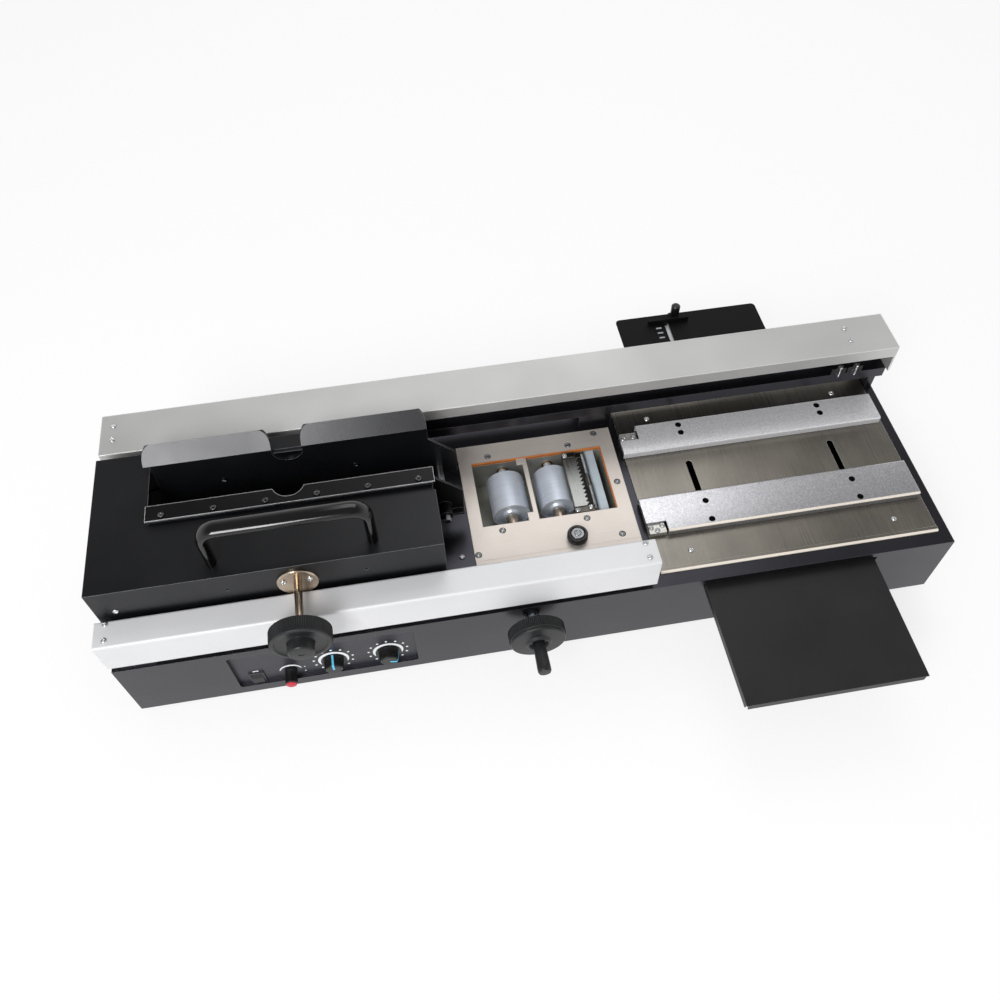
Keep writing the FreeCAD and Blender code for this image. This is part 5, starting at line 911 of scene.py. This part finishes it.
def screws(name, head, places, material, body):
    """Sets a head on each place; PLACES holds (seat, way out) pairs."""
    seats = bpy.data.meshes.new("seats")
    seats.from_pydata([seat for seat, way in places], [], [])
    ways = seats.attributes.new("way_out", "FLOAT_VECTOR", "POINT")
    for i, (seat, way) in enumerate(places):
        ways.data[i].vector = way
    pattern = bpy.data.objects.new("pattern", head)
    bpy.context.scene.collection.objects.link(pattern)
    mesh = grown(copies_on, seats, Shape=pattern, Material=material)
    bpy.data.objects.remove(pattern)
    return keep(name, mesh, None, body)


SHANK, TOUCH = 0.0028, 1e-6


def screw_places(node):
    """The seat and the way out of each screw of a CAD node, from its separate solids: what is
    wider than a shank is the head, and the head lies at the outer end."""
    solids = bmesh.new()
    solids.from_mesh(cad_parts[node].data)
    bmesh.ops.remove_doubles(solids, verts=solids.verts, dist=TOUCH)
    left, places = set(solids.verts), []
    while left:
        island, edge = set(), [left.pop()]
        while edge:
            corner = edge.pop()
            island.add(corner)
            others = [link.other_vert(corner) for link in corner.link_edges]
            edge += [other for other in others if other not in island]
        left -= island
        spots = [corner.co for corner in island]
        low = Vector([min(spot[i] for spot in spots) for i in range(3)])
        high = Vector([max(spot[i] for spot in spots) for i in range(3)])
        size = high - low
        axis = min(range(3), key=lambda i: size[i])
        middle = (low + high) / 2
        spokes = [spot - middle for spot in spots]
        head = [spoke for spoke in spokes if spoke.length**2 - spoke[axis] ** 2 > SHANK**2]
        wide = [low[axis] + size[axis] / 2 + spoke[axis] for spoke in head]
        up = abs(max(wide) - high[axis]) < TOUCH
        seat = middle.copy()
        seat[axis] = min(wide) if up else max(wide)
        way = Vector([0, 0, 0])
        way[axis] = 1 if up else -1
        places.append((seat, way))
    solids.free()
    return sorted(places, key=lambda place: tuple(place[0]))


PLATE_TOP, LEVEL = at(0, 0, PLATE_HIGH).z, 0.0004
deck = screw_places("deck_screws")
plate_places = [place for place in deck if abs(place[0].z - PLATE_TOP) < LEVEL]
sheet_places = [place for place in deck if place not in plate_places]
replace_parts(screws("deck_pan_screws", pan_head, sheet_places, zinc, "machine"), "deck_screws")
screws("plate_screws", sunk_head, plate_places, ground_steel, "machine")
screws("plate_countersinks", dark_ring, plate_places, black_oxide, "machine")
strip = screw_places("jaw_screws")
strip_screws = screws("strip_socket_screws", socket_head, strip, black_oxide, "moving_jaw")
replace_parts(strip_screws, "jaw_screws")
carriage_places = screw_places("carriage_screws")
JAW_PLATE = at(0, 180, 0).y
outside = [place for place in carriage_places if place[0].y < JAW_PLATE]
inside = [place for place in carriage_places if place not in outside]
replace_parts(screws("carriage_pan_screws", pan_head, outside, zinc, "carriage"), "carriage_screws")
screws("jaw_plate_screws", pan_head, inside, black_oxide, "carriage")
upwards = Vector((0, 0, 1))
for side, body, rows, spots in (
    ("rear", "machine", (214, 227), ((641, 218), (655, 219))),
    ("front", "moving_nipper", (76, 103.5), ((641, 78), (655.5, 79.5), (648, 73))),
):
    # The grub screws are nearly black: phosphate, and painted shade for the holes they sit in.
    holes = [(at(x, y, NIPPER_TOP), upwards) for x in (717, 907) for y in rows]
    screws(f"{side}_grub_screws", grub, holes, phosphate_and_hole_shade, body)
    corners = [(at(x, y, LATCH_TOP), upwards) for x, y in spots]
    screws(f"{side}_latch_screws", pan_head, corners, zinc, body)
blade_spots = ((561, 209, BLADE_CLAMP_TOP), (561, 125, 102.3), (578, 127, 102.3))
screws("blade_screws", pan_head, [(at(*spot), upwards) for spot in blade_spots], zinc, "film_blade")
screws("deck_edge_screw", pan_head, [(at(408.5, 82, PLATE_LOW), upwards)], zinc, "machine")
front_wall = [(at(x, 0, z), Vector((0, -1, 0))) for x, z in ((471.8, 86.8), (484.9, 88.7))]
screws("housing_front_screws", pan_head, front_wall, black_oxide, "machine")

# Studio. A white floor that keeps a soft shadow, a pale world that is darker overhead, as
# the ceiling of a studio is, one softbox above and behind, and one in front.
FLOOR_HALF, FLOOR_GLOW = 12.0, 0.75
floor_mesh = bpy.data.meshes.new("studio_floor")
corners = [(x * FLOOR_HALF, y * FLOOR_HALF, 0) for x, y in ((-1, -1), (1, -1), (1, 1), (-1, 1))]
floor_mesh.from_pydata(corners, [], [(0, 1, 2, 3)])
floor = bpy.data.objects.new("studio_floor", floor_mesh)
bpy.context.scene.collection.objects.link(floor)
floor_paint = bpy.data.materials.new("studio_floor_paint")
floor_paint.use_nodes = True
paint = floor_paint.node_tree
paint.nodes.clear()
matt = add(paint, "ShaderNodeBsdfDiffuse", {"Color": colour("#F4F4F4")})
glow = add(paint, "ShaderNodeEmission", {"Color": colour("#FFFFFF"), "Strength": 1.0})
ray = add(paint, "ShaderNodeLightPath")
sockets = {0: ray.outputs["Is Camera Ray"], 1: ray.outputs["Is Glossy Ray"]}
seen = add(paint, "ShaderNodeMath", sockets, operation="MAXIMUM").outputs[0]
sockets = {0: seen, 1: ray.outputs["Is Transmission Ray"]}
seen = add(paint, "ShaderNodeMath", sockets, operation="MAXIMUM").outputs[0]
share = add(paint, "ShaderNodeMath", {0: seen, 1: FLOOR_GLOW}, operation="MULTIPLY").outputs[0]
both = add(paint, "ShaderNodeMixShader", {0: share, 1: matt.outputs[0], 2: glow.outputs[0]})
add(paint, "ShaderNodeOutputMaterial", {"Surface": both.outputs[0]})
floor_mesh.materials.append(floor_paint)

CEILING = {"From Min": 0.25, "From Max": 0.75, "To Min": 1.0, "To Max": 0.28}
AMBIENT, BACKDROP = 0.6, 1.0
world = bpy.data.worlds.new("studio")
world.use_nodes = True
sky = world.node_tree
sky.nodes.clear()
ray = add(sky, "ShaderNodeLightPath")
way = add(sky, "ShaderNodeTexCoord").outputs["Generated"]
height = add(sky, "ShaderNodeSeparateXYZ", {0: way}).outputs["Z"]
ceiling = add(sky, "ShaderNodeMapRange", {"Value": height, **CEILING}).outputs[0]
sockets = {0: ray.outputs["Is Glossy Ray"], 2: AMBIENT, 3: ceiling}
level = add(sky, "ShaderNodeMix", sockets, data_type="FLOAT").outputs[0]
sockets = {0: ray.outputs["Is Camera Ray"], 1: ray.outputs["Is Transmission Ray"]}
shown = add(sky, "ShaderNodeMath", sockets, operation="MAXIMUM").outputs[0]
sockets = {0: shown, 2: level, 3: BACKDROP}
level = add(sky, "ShaderNodeMix", sockets, data_type="FLOAT").outputs[0]
back = add(sky, "ShaderNodeBackground", {"Color": colour("#FFFFFF"), "Strength": level})
add(sky, "ShaderNodeOutputWorld", {"Surface": back.outputs[0]})
bpy.context.scene.world = world


def soft_lamp(name, place, target, width, depth, watts):
    """A softbox that faces TARGET."""
    lamp = bpy.data.lights.new(name, "AREA")
    lamp.shape = "RECTANGLE"
    lamp.size = width
    lamp.size_y = depth
    lamp.energy = watts
    holder = bpy.data.objects.new(name, lamp)
    bpy.context.scene.collection.objects.link(holder)
    holder.location = place
    holder.rotation_euler = (Vector(target) - Vector(place)).to_track_quat("-Z", "Y").to_euler()


soft_lamp("rear_softbox", (0.38, 1.5, 2.3), (0.38, 0.1, 0.1), 1.46, 1.4, 12)
soft_lamp("front_softbox", (-1.0, -1.7, 1.95), (-0.2, 0, 0.2), 0.9, 1.1, 46)

camera_data = bpy.data.cameras.new("camera")
camera_data.sensor_width = 36
camera_data.lens = 33.12
camera = bpy.data.objects.new("camera", camera_data)
bpy.context.scene.collection.objects.link(camera)
camera.location = (-0.1309, -0.6515, 1.0591)
camera.rotation_euler = Euler((0.61223, 0.012967, -0.166936))
bpy.context.scene.camera = camera
bpy.context.scene.view_settings.view_transform = "Standard"
